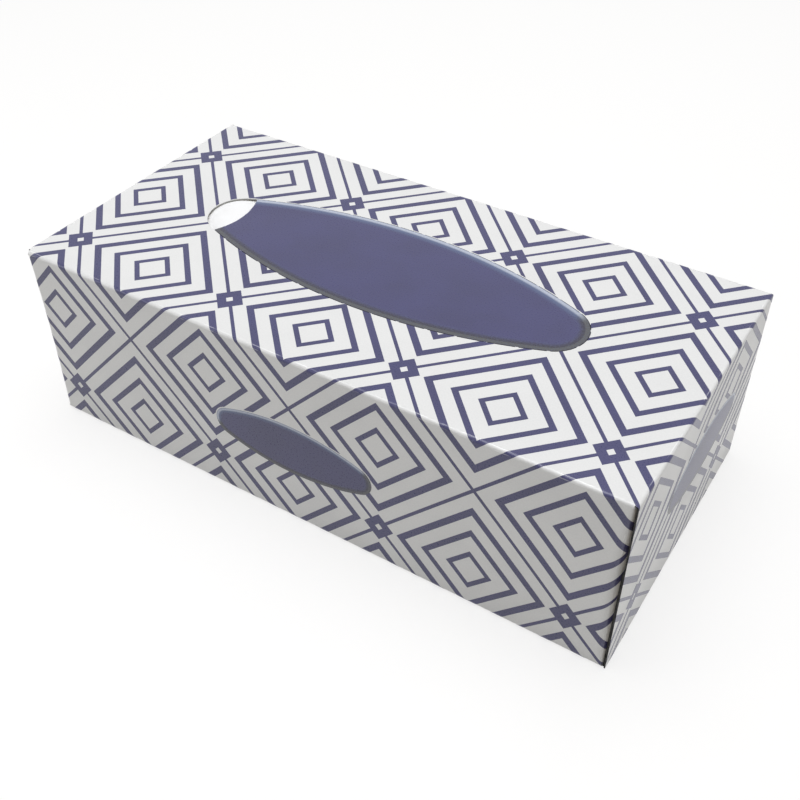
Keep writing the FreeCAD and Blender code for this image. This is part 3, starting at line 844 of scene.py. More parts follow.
    def triangulate(self, drawing: Drawing) -> None:
        """Triangulate the line work, drop what is cut away, and label each triangle's print."""
        points, _, faces, *_ = geometry.delaunay_2d_cdt(
            drawing.points, drawing.edges, [], 0, MERGE_LENGTH)
        places = np.array([tuple(point) for point in points])
        triangles = np.array(faces)
        corners = places[triangles]
        middles = corners.mean(1)
        first, second = corners[:, 1] - corners[:, 0], corners[:, 2] - corners[:, 0]
        area = np.abs(first[:, 0] * second[:, 1] - first[:, 1] * second[:, 0]) / 2
        keep = self.inside(middles) & ~self.cut_away(middles) & (area > SLIVER_AREA)
        triangles, middles = triangles[keep], middles[keep]
        used, flat = np.unique(triangles, return_inverse=True)
        self.m, self.s = places[used].T
        self.triangles = flat.reshape(triangles.shape)[:, ::-1]
        self.labels = self.label(middles[:, 0], middles[:, 1])

    def inside(self, points: np.ndarray) -> np.ndarray:
        """Tell which points lie inside the outline."""
        result = np.zeros(len(points), bool)
        for (m0, s0), (m1, s1) in zip(self.outline, np.roll(self.outline, -1, axis=0)):
            if s0 == s1:
                continue
            crosses = (s0 > points[:, 1]) != (s1 > points[:, 1])
            at = m0 + (points[:, 1] - s0) / (s1 - s0) * (m1 - m0)
            result ^= crosses & (points[:, 0] < at)
        return result

    def cut_away(self, points: np.ndarray) -> np.ndarray:
        """Tell which points lie in the thumb hole or a perforation slit."""
        opening = self.opening
        m, s = points.T
        inset = opening.oval.inset(m, s)
        from_thumb = opening.from_thumb(m, s)
        result = (inset > -opening.slit / 2) & (from_thumb < 0) & (m < opening.oval.m)
        ring = np.flatnonzero((np.abs(inset) < opening.slit / 2) & (from_thumb >= 0))
        result[ring] = ~opening.in_nick(m[ring], s[ring])
        return result

    def label(self, m: np.ndarray, s: np.ndarray) -> np.ndarray:
        """What is printed at each point."""
        labels = np.full(len(m), int(Label.BARE))
        printed = np.zeros(len(m), bool)
        for low_m, high_m, low_s, high_s in self.windows:
            printed |= (m > low_m) & (m < high_m) & (s > low_s) & (s < high_s)
        printed &= self.lattice.printed(m + self.size.length / 2, s)
        labels[printed] = Label.LATTICE
        for index, oval in enumerate(self.ovals):
            inset = oval.inset(m, s)
            edge = self.opening.slit / 2 if index == 0 else 0.0
            labels[(inset > -self.margin) & ((oval.lit(m, s) > 0) | (inset > 0))] = Label.BARE
            labels[inset > edge] = Label.RIM
            labels[inset > oval.rim] = Label.FIELD
        return labels

    def attributes(self) -> dict[str, np.ndarray]:
        """Point values that the materials read: place on the blank, fold distance, rim depth and light."""
        rim = np.full(len(self.m), self.off_rim)
        lit = np.zeros(len(self.m))
        for oval in self.ovals:
            inset = oval.inset(self.m, self.s)
            near = inset > -self.rim_margin
            rim[near] = inset[near] / oval.rim
            lit[near] = oval.lit(self.m, self.s)[near]
        return {
            BLANK_ATTRIBUTE: np.stack([self.m, self.s, np.zeros(len(self.m))], 1),
            FOLD_ATTRIBUTE: self.folding.fold_distance(self.m, self.s),
            RIM_ATTRIBUTE: rim,
            LIT_ATTRIBUTE: lit,
        }


def border_edges(triangles: np.ndarray) -> np.ndarray:
    """The directed edges that only one triangle has, as pairs of vertex numbers."""
    edges = np.concatenate([triangles[:, [0, 1]], triangles[:, [1, 2]], triangles[:, [2, 0]]])
    ordered = np.sort(edges, axis=1)
    _, where, counts = np.unique(ordered, axis=0, return_index=True, return_counts=True)
    return edges[where[counts == 1]]


def add_object(name: str, data: bpy.types.ID) -> bpy.types.Object:
    """Put new data into the scene as an object."""
    item = bpy.data.objects.new(name, data)
    bpy.context.scene.collection.objects.link(item)
    return item


def shade_smooth(mesh: bpy.types.Mesh, sharp: float) -> None:
    """Shade a mesh smoothly, but for the edges over a sharp angle in degrees."""
    mesh.polygons.foreach_set("use_smooth", [True] * len(mesh.polygons))
    mesh.update()
    mesh.set_sharp_from_angle(angle=math.radians(sharp))


def sheet_mesh(name: str, upper: np.ndarray, lower: np.ndarray, triangles: np.ndarray,
               values: dict[str, np.ndarray], closed: bool) -> bpy.types.Object:
    """Build a thin sheet from two layers of the same points.

    Args:
        name: the object's name.
        upper, lower: the two layers' points in metres.
        triangles: faces of the upper layer.
        values: point values to keep as attributes.
        closed: whether the lower layer is shown as well.

    Returns:
        The object, with material slot 0 on the upper layer, 1 on the lower one and 2 on the edges.
    """
    used, flat = np.unique(triangles, return_inverse=True)
    faces = flat.reshape(triangles.shape)
    count = len(used)
    borders = border_edges(faces)
    walls = np.stack([borders[:, 1], borders[:, 0], borders[:, 0] + count, borders[:, 1] + count], 1)
    polygons = [tuple(face) for face in faces.tolist()]
    slots = [0] * len(faces)
    if closed:
        polygons += [tuple(face) for face in (faces[:, ::-1] + count).tolist()]
        slots += [1] * len(faces)
    polygons += [tuple(wall) for wall in walls.tolist()]
    slots += [2] * len(walls)
    mesh = bpy.data.meshes.new(name)
    mesh.from_pydata(np.concatenate([upper[used], lower[used]]).tolist(), [], polygons)
    for key, value in values.items():
        both = np.concatenate([value[used], value[used]]).astype(np.float32)
        kind, field = ("FLOAT_VECTOR", "vector") if both.ndim == 2 else ("FLOAT", "value")
        mesh.attributes.new(key, kind, "POINT").data.foreach_set(field, both.ravel())
    mesh.polygons.foreach_set("material_index", slots)
    shade_smooth(mesh, BOARD_SHARP)
    return add_object(name, mesh)


class Nodes:
    """A short way to write a node tree."""

    def __init__(self, tree: Tree) -> None:
        self.tree = tree

    @classmethod
    def fresh(cls, owner: bpy.types.ID) -> "Nodes":
        """Start an empty tree on a material or a world."""
        owner.use_nodes = True
        owner.node_tree.nodes.clear()
        return cls(owner.node_tree)

    def add(self, kind: str, **settings: object) -> Node:
        """Add a node and set its properties."""
        node = self.tree.nodes.new(kind)
        for key, value in settings.items():
            setattr(node, key, value)
        return node

    def put(self, node: Node, **sources: object) -> Node:
        """Link or set a node's inputs, by their names with _ for each blank, or by i and a number."""
        for key, value in sources.items():
            socket = node.inputs[int(key[1:]) if key[1:].isdigit() else key.replace("_", " ")]
            if isinstance(value, Socket):
                self.tree.links.new(value, socket)
            else:
                socket.default_value = value
        return node

    def end(self, kind: str, shader: Socket) -> None:
        """Link a shader to an output node."""
        self.tree.links.new(shader, self.add(kind).inputs[0])

    def math(self, operation: str, *values: object) -> Socket:
        """A maths node's result."""
        node = self.add("ShaderNodeMath", operation=operation)
        for index, value in enumerate(values):
            self.put(node, **{f"i{index}": value})
        return node.outputs[0]

    def ramp(self, value: object, low: float, high: float, start: float = 0.0,
             stop: float = 1.0) -> Socket:
        """A smooth step from start to stop while value goes from low to high."""
        node = self.add("ShaderNodeMapRange", interpolation_type="SMOOTHSTEP")
        self.put(node, Value=value, From_Min=low, From_Max=high, To_Min=start, To_Max=stop)
        return node.outputs[0]

    def mix(self, share: object, first: object, second: object) -> Socket:
        """A mix of two colours."""
        node = self.add("ShaderNodeMix", data_type="RGBA")
        self.put(node, i0=share, i6=first, i7=second)
        return node.outputs[2]

    def blend(self, share: Socket, first: Node, second: Node) -> Socket:
        """A mix of two shaders."""
        node = self.add("ShaderNodeMixShader")
        return self.put(node, i0=share, i1=first.outputs[0], i2=second.outputs[0]).outputs[0]

    def noise(self, vector: object, scale: float, detail: float = 2.0,
              roughness: float = 0.5) -> Socket:
        """A noise value."""
        node = self.add("ShaderNodeTexNoise")
        self.put(node, Vector=vector, Scale=scale, Detail=detail, Roughness=roughness)
        return node.outputs[0]

    def distance(self, vector: object, place: Triple) -> Socket:
        """How far a vector lies from a fixed place."""
        node = self.add("ShaderNodeVectorMath", operation="DISTANCE")
        self.put(node, i0=vector, i1=place)
        return node.outputs["Value"]

    def stretched(self, vector: object, scale: Triple) -> Socket:
        """A vector with each axis scaled."""
        node = self.add("ShaderNodeMapping")
        self.put(node, Vector=vector, Scale=scale)
        return node.outputs[0]

    def attribute(self, name: str, output: str) -> Socket:
        """A mesh attribute."""
        return self.add("ShaderNodeAttribute", attribute_name=name).outputs[output]

    def group(self, tree: Tree, **sources: object) -> Node:
        """A shared group."""
        return self.put(self.add("ShaderNodeGroup", node_tree=tree), **sources)


def group_tree(name: str, inputs: dict[str, str], outputs: dict[str, str]) -> tuple[Nodes, dict, dict]:
    """Start a shared node group.

    Args:
        name: the group's name.
        inputs, outputs: socket types by name.

    Returns:
        The tree's writer, the group's input sockets and its output sockets.
    """
    tree = bpy.data.node_groups.new(name, "ShaderNodeTree")
    for way, kinds in (("INPUT", inputs), ("OUTPUT", outputs)):
        for key, kind in kinds.items():
            tree.interface.new_socket(key, in_out=way, socket_type=kind)
    nodes = Nodes(tree)
    start, end = nodes.add("NodeGroupInput"), nodes.add("NodeGroupOutput")
    return nodes, {key: start.outputs[key] for key in inputs}, {key: end.inputs[key] for key in outputs}


class SharedEffects:
    """The node groups that several finishes use."""

    def __init__(self) -> None:
        self.fibre = self.make_fibre()
        self.fold_wear = self.make_fold_wear()

    @staticmethod
    def make_fibre() -> Tree:
        """Paper fibre under a coat: a slow mottle, a fine speckle, and the height of both."""
        nodes, given, result = group_tree(
            "paper_fibre", {"Vector": "NodeSocketVector"},
            {"Mottle": "NodeSocketFloat", "Speckle": "NodeSocketFloat", "Height": "NodeSocketFloat"})
        mottle = nodes.noise(given["Vector"], 0.045, 3.0, 0.55)
        speckle = nodes.noise(given["Vector"], 1.7, 3.0, 0.75)
        grain = nodes.noise(nodes.stretched(given["Vector"], (1.0, 1.7, 1.0)), 0.9, 4.0, 0.65)
        height = nodes.math("ADD", nodes.math("MULTIPLY", grain, 0.7), nodes.math("MULTIPLY", speckle, 0.3))
        for key, value in (("Mottle", mottle), ("Speckle", speckle), ("Height", height)):
            nodes.tree.links.new(value, result[key])
        return nodes.tree

    @staticmethod
    def make_fold_wear() -> Tree:
        """Wear along the folds: thin broken lines beside a fold, and soft scuffs round them; the broken
        lines are cracked ink on the print and a painted highlight on the white board.
        """
        nodes, given, result = group_tree(
            "fold_wear", {"Vector": "NodeSocketVector", "Distance": "NodeSocketFloat"},
            {"CrackAndHighlight": "NodeSocketFloat", "Scuff": "NodeSocketFloat"})
        wander = nodes.math("MULTIPLY", nodes.noise(given["Vector"], 0.25, 2.0), 0.5)
        off = nodes.math("SUBTRACT", given["Distance"], nodes.math("ADD", wander, 0.4))
        off = nodes.math("ABSOLUTE", off)
        line = nodes.ramp(off, 0.06, 0.2, 1.0, 0.0)
        broken = nodes.ramp(nodes.noise(given["Vector"], 0.12, 3.0, 0.6), 0.5, 0.62)
        near = nodes.ramp(given["Distance"], 0.4, 2.2, 1.0, 0.0)
        rubbed = nodes.ramp(nodes.noise(given["Vector"], 0.7, 4.0, 0.7), 0.52, 0.7)
        nodes.tree.links.new(nodes.math("MULTIPLY", line, broken), result["CrackAndHighlight"])
        nodes.tree.links.new(nodes.math("MULTIPLY", near, rubbed), result["Scuff"])
        return nodes.tree


@dataclass
class Finish:
    """A material with a Principled shader, and the writer of its nodes.

    Args:
        name: the material's name.
    """

    name: str

    def build(self) -> Material:
        """Make the material."""
        material = bpy.data.materials.new(self.name)
        nodes = Nodes.fresh(material)
        shader = nodes.add("ShaderNodeBsdfPrincipled")
        nodes.end("ShaderNodeOutputMaterial", shader.outputs[0])
        self.paint(nodes, shader)
        return material

    def paint(self, nodes: Nodes, shader: Node) -> None:
        """Set the shader's inputs."""
        raise NotImplementedError

    @staticmethod
    def bump(nodes: Nodes, shader: Node, height: Socket, depth: float, strength: float) -> None:
        """Put a bump of a depth in metres on the shader."""
        node = nodes.put(nodes.add("ShaderNodeBump"), Height=height, Distance=depth, Strength=strength)
        nodes.put(shader, Normal=node.outputs[0])


@dataclass
class BlankFinish(Finish):
    """A finish of the folded blank, which follows the blank's attributes.

    Args:
        effects: the shared node groups.
    """

    effects: SharedEffects

    def fibre(self, nodes: Nodes) -> tuple[Socket, Node]:
        """The place on the blank, and the paper fibre there."""
        place = nodes.attribute(BLANK_ATTRIBUTE, "Vector")
        return place, nodes.group(self.effects.fibre, Vector=place)

    def wear(self, nodes: Nodes, place: Socket) -> Node:
        """The fold wear at the place on the blank, whose thin lines also give the board its painted
        highlight.
        """
        distance = nodes.attribute(FOLD_ATTRIBUTE, "Fac")
        return nodes.group(self.effects.fold_wear, Vector=place, Distance=distance)


@dataclass
class CoatedBoard(BlankFinish):
    """The board's white clay-coated outside, with a painted highlight along the folds."""

    white: Colour = (0.80, 0.80, 0.79, 1.0)
    shade: Colour = (0.745, 0.745, 0.74, 1.0)
    worn: Colour = (0.62, 0.615, 0.605, 1.0)
    fold_highlight: Colour = (0.92, 0.92, 0.915, 1.0)

    def paint(self, nodes: Nodes, shader: Node) -> None:
        """Set the shader's inputs."""
        place, fibre = self.fibre(nodes)
        wear = self.wear(nodes, place)
        tone = nodes.math("ADD", nodes.ramp(fibre.outputs["Mottle"], 0.4, 0.7, 0.0, 0.45),
                          nodes.ramp(fibre.outputs["Speckle"], 0.40, 0.62, 0.0, 0.55))
        colour = nodes.mix(tone, self.white, self.shade)
        worn = nodes.math("MULTIPLY", wear.outputs["Scuff"], 0.25)
        colour = nodes.mix(worn, colour, self.worn)
        # Painted highlight: the thin broken line along each fold is lighter than the white board, as a
        # glint.
        nodes.put(shader, Base_Color=nodes.mix(wear.outputs["CrackAndHighlight"], colour, self.fold_highlight))
        rough = nodes.math("ADD", nodes.ramp(fibre.outputs["Mottle"], 0.3, 0.7, 0.30, 0.38),
                           nodes.math("MULTIPLY", wear.outputs["Scuff"], 0.2))
        nodes.put(shader, Roughness=rough, IOR=1.55)
        self.bump(nodes, shader, fibre.outputs["Height"], 0.00003, 0.35)


@dataclass
class RawBoard(BlankFinish):
    """The uncoated recycled side of the board."""

    light: Colour = (0.56, 0.52, 0.45, 1.0)
    dark: Colour = (0.42, 0.38, 0.32, 1.0)

    def paint(self, nodes: Nodes, shader: Node) -> None:
        """Set the shader's inputs."""
        place, fibre = self.fibre(nodes)
        flecks = nodes.noise(nodes.stretched(place, (0.5, 1.6, 1.0)), 1.3, 4.0, 0.75)
        flecks = nodes.ramp(flecks, 0.56, 0.68)
        tone = nodes.math("ADD", nodes.ramp(fibre.outputs["Mottle"], 0.35, 0.7, 0.0, 0.5),
                          nodes.math("MULTIPLY", flecks, 0.5))
        nodes.put(shader, Base_Color=nodes.mix(tone, self.light, self.dark), Roughness=0.92,
                  Specular_IOR_Level=0.25)
        self.bump(nodes, shader, fibre.outputs["Height"], 0.00008, 0.6)


@dataclass
class CutEdge(BlankFinish):
    """The board's die-cut edge: a grey core painted near black as shade for the shadowed gaps beside the
    flaps, and left pale at the thumb hole.

    Args:
        hole: the thumb hole's middle on the blank, in millimetres.
        reach, fade: how far from there the edge is pale, and over what length that ends.
    """

    hole: Triple
    reach: float = 14.0
    fade: float = 1.0
    # The light and dark tones are both painted shade: near black, for the shadowed gaps beside the flaps.
    light: Colour = (0.068, 0.067, 0.066, 1.0)
    dark: Colour = (0.025, 0.025, 0.026, 1.0)
    pale: Colour = (0.46, 0.46, 0.45, 1.0)

    def paint(self, nodes: Nodes, shader: Node) -> None:
        """Set the shader's inputs."""
        place, fibre = self.fibre(nodes)
        # Painted shade: the edge is mottled between two near-black tones, except close to the thumb hole.
        tone = nodes.ramp(nodes.noise(place, 0.35, 4.0, 0.7), 0.38, 0.62)
        colour = nodes.mix(tone, self.light, self.dark)
        away = nodes.ramp(nodes.distance(place, self.hole), self.reach, self.reach + self.fade)
        colour = nodes.mix(away, self.pale, colour)
        nodes.put(shader, Base_Color=colour, Roughness=0.95, Specular_IOR_Level=0.2)
        self.bump(nodes, shader, fibre.outputs["Height"], 0.00008, 0.6)


@dataclass
class NavyInk(BlankFinish):
    """The navy printing ink: a little glossier than the board, cracked and rubbed along the folds."""

    navy: Colour = (0.036, 0.035, 0.132, 1.0)
    deep: Colour = (0.030, 0.029, 0.110, 1.0)
    cracked: Colour = (0.32, 0.32, 0.40, 1.0)
    rubbed: Colour = (0.12, 0.12, 0.22, 1.0)

    def paint(self, nodes: Nodes, shader: Node) -> None:
        """Set the shader's inputs."""
        place, fibre = self.fibre(nodes)
        wear = self.wear(nodes, place)
        colour = nodes.mix(nodes.ramp(fibre.outputs["Mottle"], 0.35, 0.7), self.navy, self.deep)
        dots = nodes.ramp(fibre.outputs["Speckle"], 0.52, 0.72, 0.0, 0.08)
        colour = nodes.mix(dots, colour, self.rubbed)
        colour = nodes.mix(nodes.math("MULTIPLY", wear.outputs["Scuff"], 0.6), colour, self.rubbed)
        nodes.put(shader, Base_Color=nodes.mix(wear.outputs["CrackAndHighlight"], colour, self.cracked))
        rough = nodes.math("ADD", nodes.ramp(fibre.outputs["Speckle"], 0.3, 0.7, 0.26, 0.34),
                           nodes.math("MULTIPLY", wear.outputs["CrackAndHighlight"], 0.3))
        nodes.put(shader, Roughness=rough, IOR=1.6)
        self.bump(nodes, shader, fibre.outputs["Height"], 0.00002, 0.2)


@dataclass
class RimInk(BlankFinish):
    """The graded rim of a printed oval: pale along its lit upper side and dark along its lower side."""

    navy: Colour = (0.035, 0.035, 0.125, 1.0)
    pale: Colour = (0.46, 0.50, 0.60, 1.0)
    slate: Colour = (0.24, 0.27, 0.36, 1.0)
    steel: Colour = (0.075, 0.105, 0.215, 1.0)
    grey: Colour = (0.062, 0.064, 0.070, 1.0)
    shadow: Colour = (0.016, 0.014, 0.034, 1.0)

    def paint(self, nodes: Nodes, shader: Node) -> None:
        """Set the shader's inputs."""
        _, fibre = self.fibre(nodes)
        depth = nodes.attribute(RIM_ATTRIBUTE, "Fac")
        lit = nodes.ramp(nodes.attribute(LIT_ATTRIBUTE, "Fac"), 0.1, 0.6)
        upper = nodes.mix(nodes.ramp(depth, 0.02, 0.12), self.slate, self.pale)
        upper = nodes.mix(nodes.ramp(depth, 0.25, 0.52), upper, self.steel)
        upper = nodes.mix(nodes.ramp(depth, 0.5, 1.0), upper, self.navy)
        lower = nodes.mix(nodes.ramp(depth, 0.04, 0.1), self.shadow, self.grey)
        lower = nodes.mix(nodes.ramp(depth, 0.36, 0.46), lower, self.shadow)
        lower = nodes.mix(nodes.ramp(depth, 0.5, 1.0), lower, self.navy)
        colour = nodes.mix(lit, lower, upper)
        dots = nodes.ramp(fibre.outputs["Speckle"], 0.5, 0.62, 0.0, 0.3)
        nodes.put(shader, Base_Color=nodes.mix(dots, colour, self.steel))
        nodes.put(shader, Roughness=nodes.ramp(fibre.outputs["Speckle"], 0.3, 0.7, 0.26, 0.34), IOR=1.6)
        self.bump(nodes, shader, fibre.outputs["Height"], 0.00002, 0.2)


@dataclass
class TissuePaper(Finish):
    """Soft creped tissue."""

    white: Colour = (0.95, 0.95, 0.95, 1.0)
    shade: Colour = (0.90, 0.90, 0.895, 1.0)

    def paint(self, nodes: Nodes, shader: Node) -> None:
        """Set the shader's inputs."""
        place = nodes.add("ShaderNodeTexCoord").outputs["Object"]
        crepe = nodes.noise(nodes.stretched(place, (2600.0, 420.0, 1600.0)), 1.0, 3.0, 0.6)
        cloud = nodes.noise(place, 90.0, 3.0, 0.6)
        colour = nodes.mix(nodes.ramp(cloud, 0.35, 0.7), self.white, self.shade)
        nodes.put(shader, Base_Color=colour, Roughness=nodes.ramp(cloud, 0.3, 0.7, 0.9, 1.0),
                  Specular_IOR_Level=0.2, Sheen_Weight=0.15)
        self.bump(nodes, shader, crepe, 0.00012, 0.6)


@dataclass
class DriedGlue(Finish):
    """A thin film of dried glue."""

    clear: Colour = (0.72, 0.66, 0.50, 1.0)
    cloudy: Colour = (0.80, 0.76, 0.64, 1.0)

    def paint(self, nodes: Nodes, shader: Node) -> None:
        """Set the shader's inputs."""
        place = nodes.add("ShaderNodeTexCoord").outputs["Object"]
        cloud = nodes.noise(place, 220.0, 3.0, 0.6)
        nodes.put(shader, Base_Color=nodes.mix(nodes.ramp(cloud, 0.35, 0.65), self.clear, self.cloudy),
                  Roughness=nodes.ramp(cloud, 0.3, 0.7, 0.28, 0.5))
        self.bump(nodes, shader, cloud, 0.00005, 0.5)


@dataclass
class Carton:
    """The folded board.

    Args:
        blank: the flat sheet.
        outside, inside, edge: the board's three finishes.
    """

    blank: Blank
    outside: Material
    inside: Material
    edge: Material

    def build(self) -> bpy.types.Object:
        """Fold the board and put it in place of its CAD node."""
        blank = self.blank
        upper = blank.folding.fold(blank.m, blank.s, 0.0)
        lower = blank.folding.fold(blank.m, blank.s, -blank.size.board)
        board = sheet_mesh("carton_board", upper, lower, blank.triangles, blank.attributes(), True)
        for material in (self.outside, self.inside, self.edge):
            board.data.materials.append(material)
        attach(board, BODY)
        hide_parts("carton")
        return board


@dataclass
class Print:
    """One printed layer on the board.

    Args:
        name: the piece's name.
        blank: the flat sheet.
        label: which faces it takes.
        nodes: the CAD nodes it stands for.
        slot: the record's slot; not used.
        ink: its finish.
        thickness: height of the ink in millimetres.
    """

    name: str
    blank: Blank
    label: Label
    nodes: tuple[str, ...]
    slot: Slot
    ink: Material
    thickness: float = 0.04

    def build(self) -> bpy.types.Object:
        """Raise the ink from the board and put it in place of its CAD nodes."""
        blank = self.blank
        upper = blank.folding.fold(blank.m, blank.s, self.thickness)
        lower = blank.folding.fold(blank.m, blank.s, 0.0)
        faces = blank.triangles[blank.labels == self.label]
        layer = sheet_mesh(self.name, upper, lower, faces, blank.attributes(), False)
        for _ in range(3):
            layer.data.materials.append(self.ink)
        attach(layer, BODY)
        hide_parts(*self.nodes)
        return layer


@dataclass
class TissueStack:
    """The folded tissues: a pile of soft leaves with rounded folded edges.

    Args:
        paper: the finish.
        leaves: how many folded leaves show at the sides.
        columns: steps along the stack's length.
        rounding: radius of the pile's soft upper edges.
        edge_depth: how deep the grooves between leaves are.
        leaf_shape: points of a leaf's edge, as shares of its height and of the grooves' depth.
        top_points, foot_points: points across the pile's top and foot.
        wander: how far single leaves lie back from the pile's faces.
        top_wave: height of the waves in the top leaf.
        side_noise, end_noise: waves per metre and per leaf in the long sides and in the ends.
        top_noise: waves per metre in the top leaf, along and across.
        seeds: places of these three in the noise.
        crown: how far the top leaf drops towards the long sides and towards the ends.
        puff, puff_reach, puff_place: height, radius and middle of the swelling under the thumb hole.
    """

    paper: Material
    leaves: int = 34
    columns: int = 72
    rounding: float = 0.003
    edge_depth: float = 0.0009
    leaf_shape: tuple[tuple[float, float], ...] = (
        (0.06, 1.0), (0.25, 0.25), (0.5, 0.0), (0.75, 0.25), (0.94, 1.0))
    top_points: int = 26
    foot_points: int = 12
    wander: float = 0.0007
    top_wave: float = 0.0006
    side_noise: tuple[float, float] = (18.0, 0.9)
    end_noise: tuple[float, float] = (25.0, 1.3)
    top_noise: tuple[float, float] = (28.0, 34.0)
    seeds: Triple = (3.0, 7.0, 1.7)
    crown: tuple[float, float] = (0.0007, 0.0006)
    puff: float = 0.00275
    puff_reach: float = 0.030
    puff_place: tuple[float, float] = (-0.0735, 0.0065)

    def build(self) -> bpy.types.Object:
        """Build the stack inside its CAD node's box."""
        low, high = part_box("tissue_stack")
        profile = self.profile(low.y, high.y, low.z, high.z)
        points = [self.soften(x, y, z, leaf, low, high)
                  for x in np.linspace(low.x, high.x, self.columns + 1) for leaf, y, z in profile]
        ring = len(profile)
        faces = []
        for column in range(self.columns):
            for index in range(ring):
                near, far = column * ring + index, column * ring + (index + 1) % ring
                faces.append((near, far, far + ring, near + ring))
        faces.append(tuple(reversed(range(ring))))
        faces.append(tuple(range(self.columns * ring, (self.columns + 1) * ring)))
        mesh = bpy.data.meshes.new("tissue_stack_leaves")
        mesh.from_pydata(points, [], faces)
        shade_smooth(mesh, TISSUE_SHARP)
        mesh.materials.append(self.paper)
        stack = add_object("tissue_stack_leaves", mesh)
        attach(stack, BODY)
        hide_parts("tissue_stack")
        return stack

    def profile(self, front: float, back: float, foot: float, top: float) -> list[tuple[int, float, float]]:
        """The stack's outline across its length: leaf number, y and z, round the section."""
        step = (top - foot) / self.leaves
        points = []
        for side, y_edge in ((1, back), (-1, front)):
            edge = []
            for leaf in range(self.leaves):
                for share, pull in self.leaf_shape:
                    z = foot + (leaf + share) * step
                    over = max(0.0, z - (top - self.rounding)) / self.rounding
                    rounded = self.rounding * (1 - math.sqrt(max(0.0, 1 - over**2)))
                    y = y_edge - side * (pull * self.edge_depth + rounded)
                    edge.append((leaf, y, z))
            points.append(edge if side > 0 else edge[::-1])
        top_ys = np.linspace(back - self.rounding, front + self.rounding, self.top_points)
        foot_ys = np.linspace(front + self.edge_depth, back - self.edge_depth, self.foot_points)
        across_top = [(self.leaves, y, top) for y in top_ys]
        across_foot = [(0, y, foot) for y in foot_ys]
        return points[0] + across_top + points[1] + across_foot

    @staticmethod
    def shares(*place: float) -> float:
        """Smooth noise from 0 to 1."""
        return 0.5 + 0.5 * noise.noise(place)

    def soften(self, x: float, y: float, z: float, leaf: int, low: object, high: object) -> Triple:
        """Move a point inwards by the leaves' uneven edges and the top's soft waves."""
        side_seed, end_seed, top_seed = self.seeds
        per_metre, per_leaf = self.side_noise
        slide = self.wander * self.shares(x * per_metre, leaf * per_leaf, math.copysign(side_seed, y))
        room = abs(y) / max(abs(low.y), abs(high.y))
        y_new = y - math.copysign(slide * room**8, y)
        per_metre, per_leaf = self.end_noise
        ends = self.wander * self.shares(y * per_metre, leaf * per_leaf, math.copysign(end_seed, x))
        at_end = abs(x) / max(abs(low.x), abs(high.x))
        x_new = x - math.copysign(ends * at_end**30, x)
        height = (z - low.z) / (high.z - low.z)
        wave = self.top_wave * self.shares(x * self.top_noise[0], y * self.top_noise[1], top_seed)
        crown = self.crown[0] * (2 * y / (high.y - low.y)) ** 2 + self.crown[1] * at_end**6
        away = math.hypot(x - self.puff_place[0], y - self.puff_place[1]) / self.puff_reach
        near = max(0.0, 1 - away**2) ** 2
        return x_new, y_new, z - (wave + crown) * (1 - near) * height**6 + self.puff * near * height**12


@dataclass
class Glue:
    """The lines of glue, which keep their CAD shape."""

    film: Material
    nodes: tuple[str, ...] = ("seam_glue", "right_end_glue", "left_end_glue")

    def finish(self, frame: dict) -> None:
        """Give the CAD nodes their finish."""
        for name in self.nodes:
            mesh = frame["nodes"][name].data
            mesh.materials.clear()
            mesh.materials.append(self.film)


@dataclass(frozen=True)
class Softbox:
    """A square soft light.

    Args:
        name: its name.
        place, aim: where it is and the point that it faces, in metres.
        size, power: its side in metres and its power in watts.
    """

    name: str
    place: Triple
    aim: Triple
    size: float
    power: float


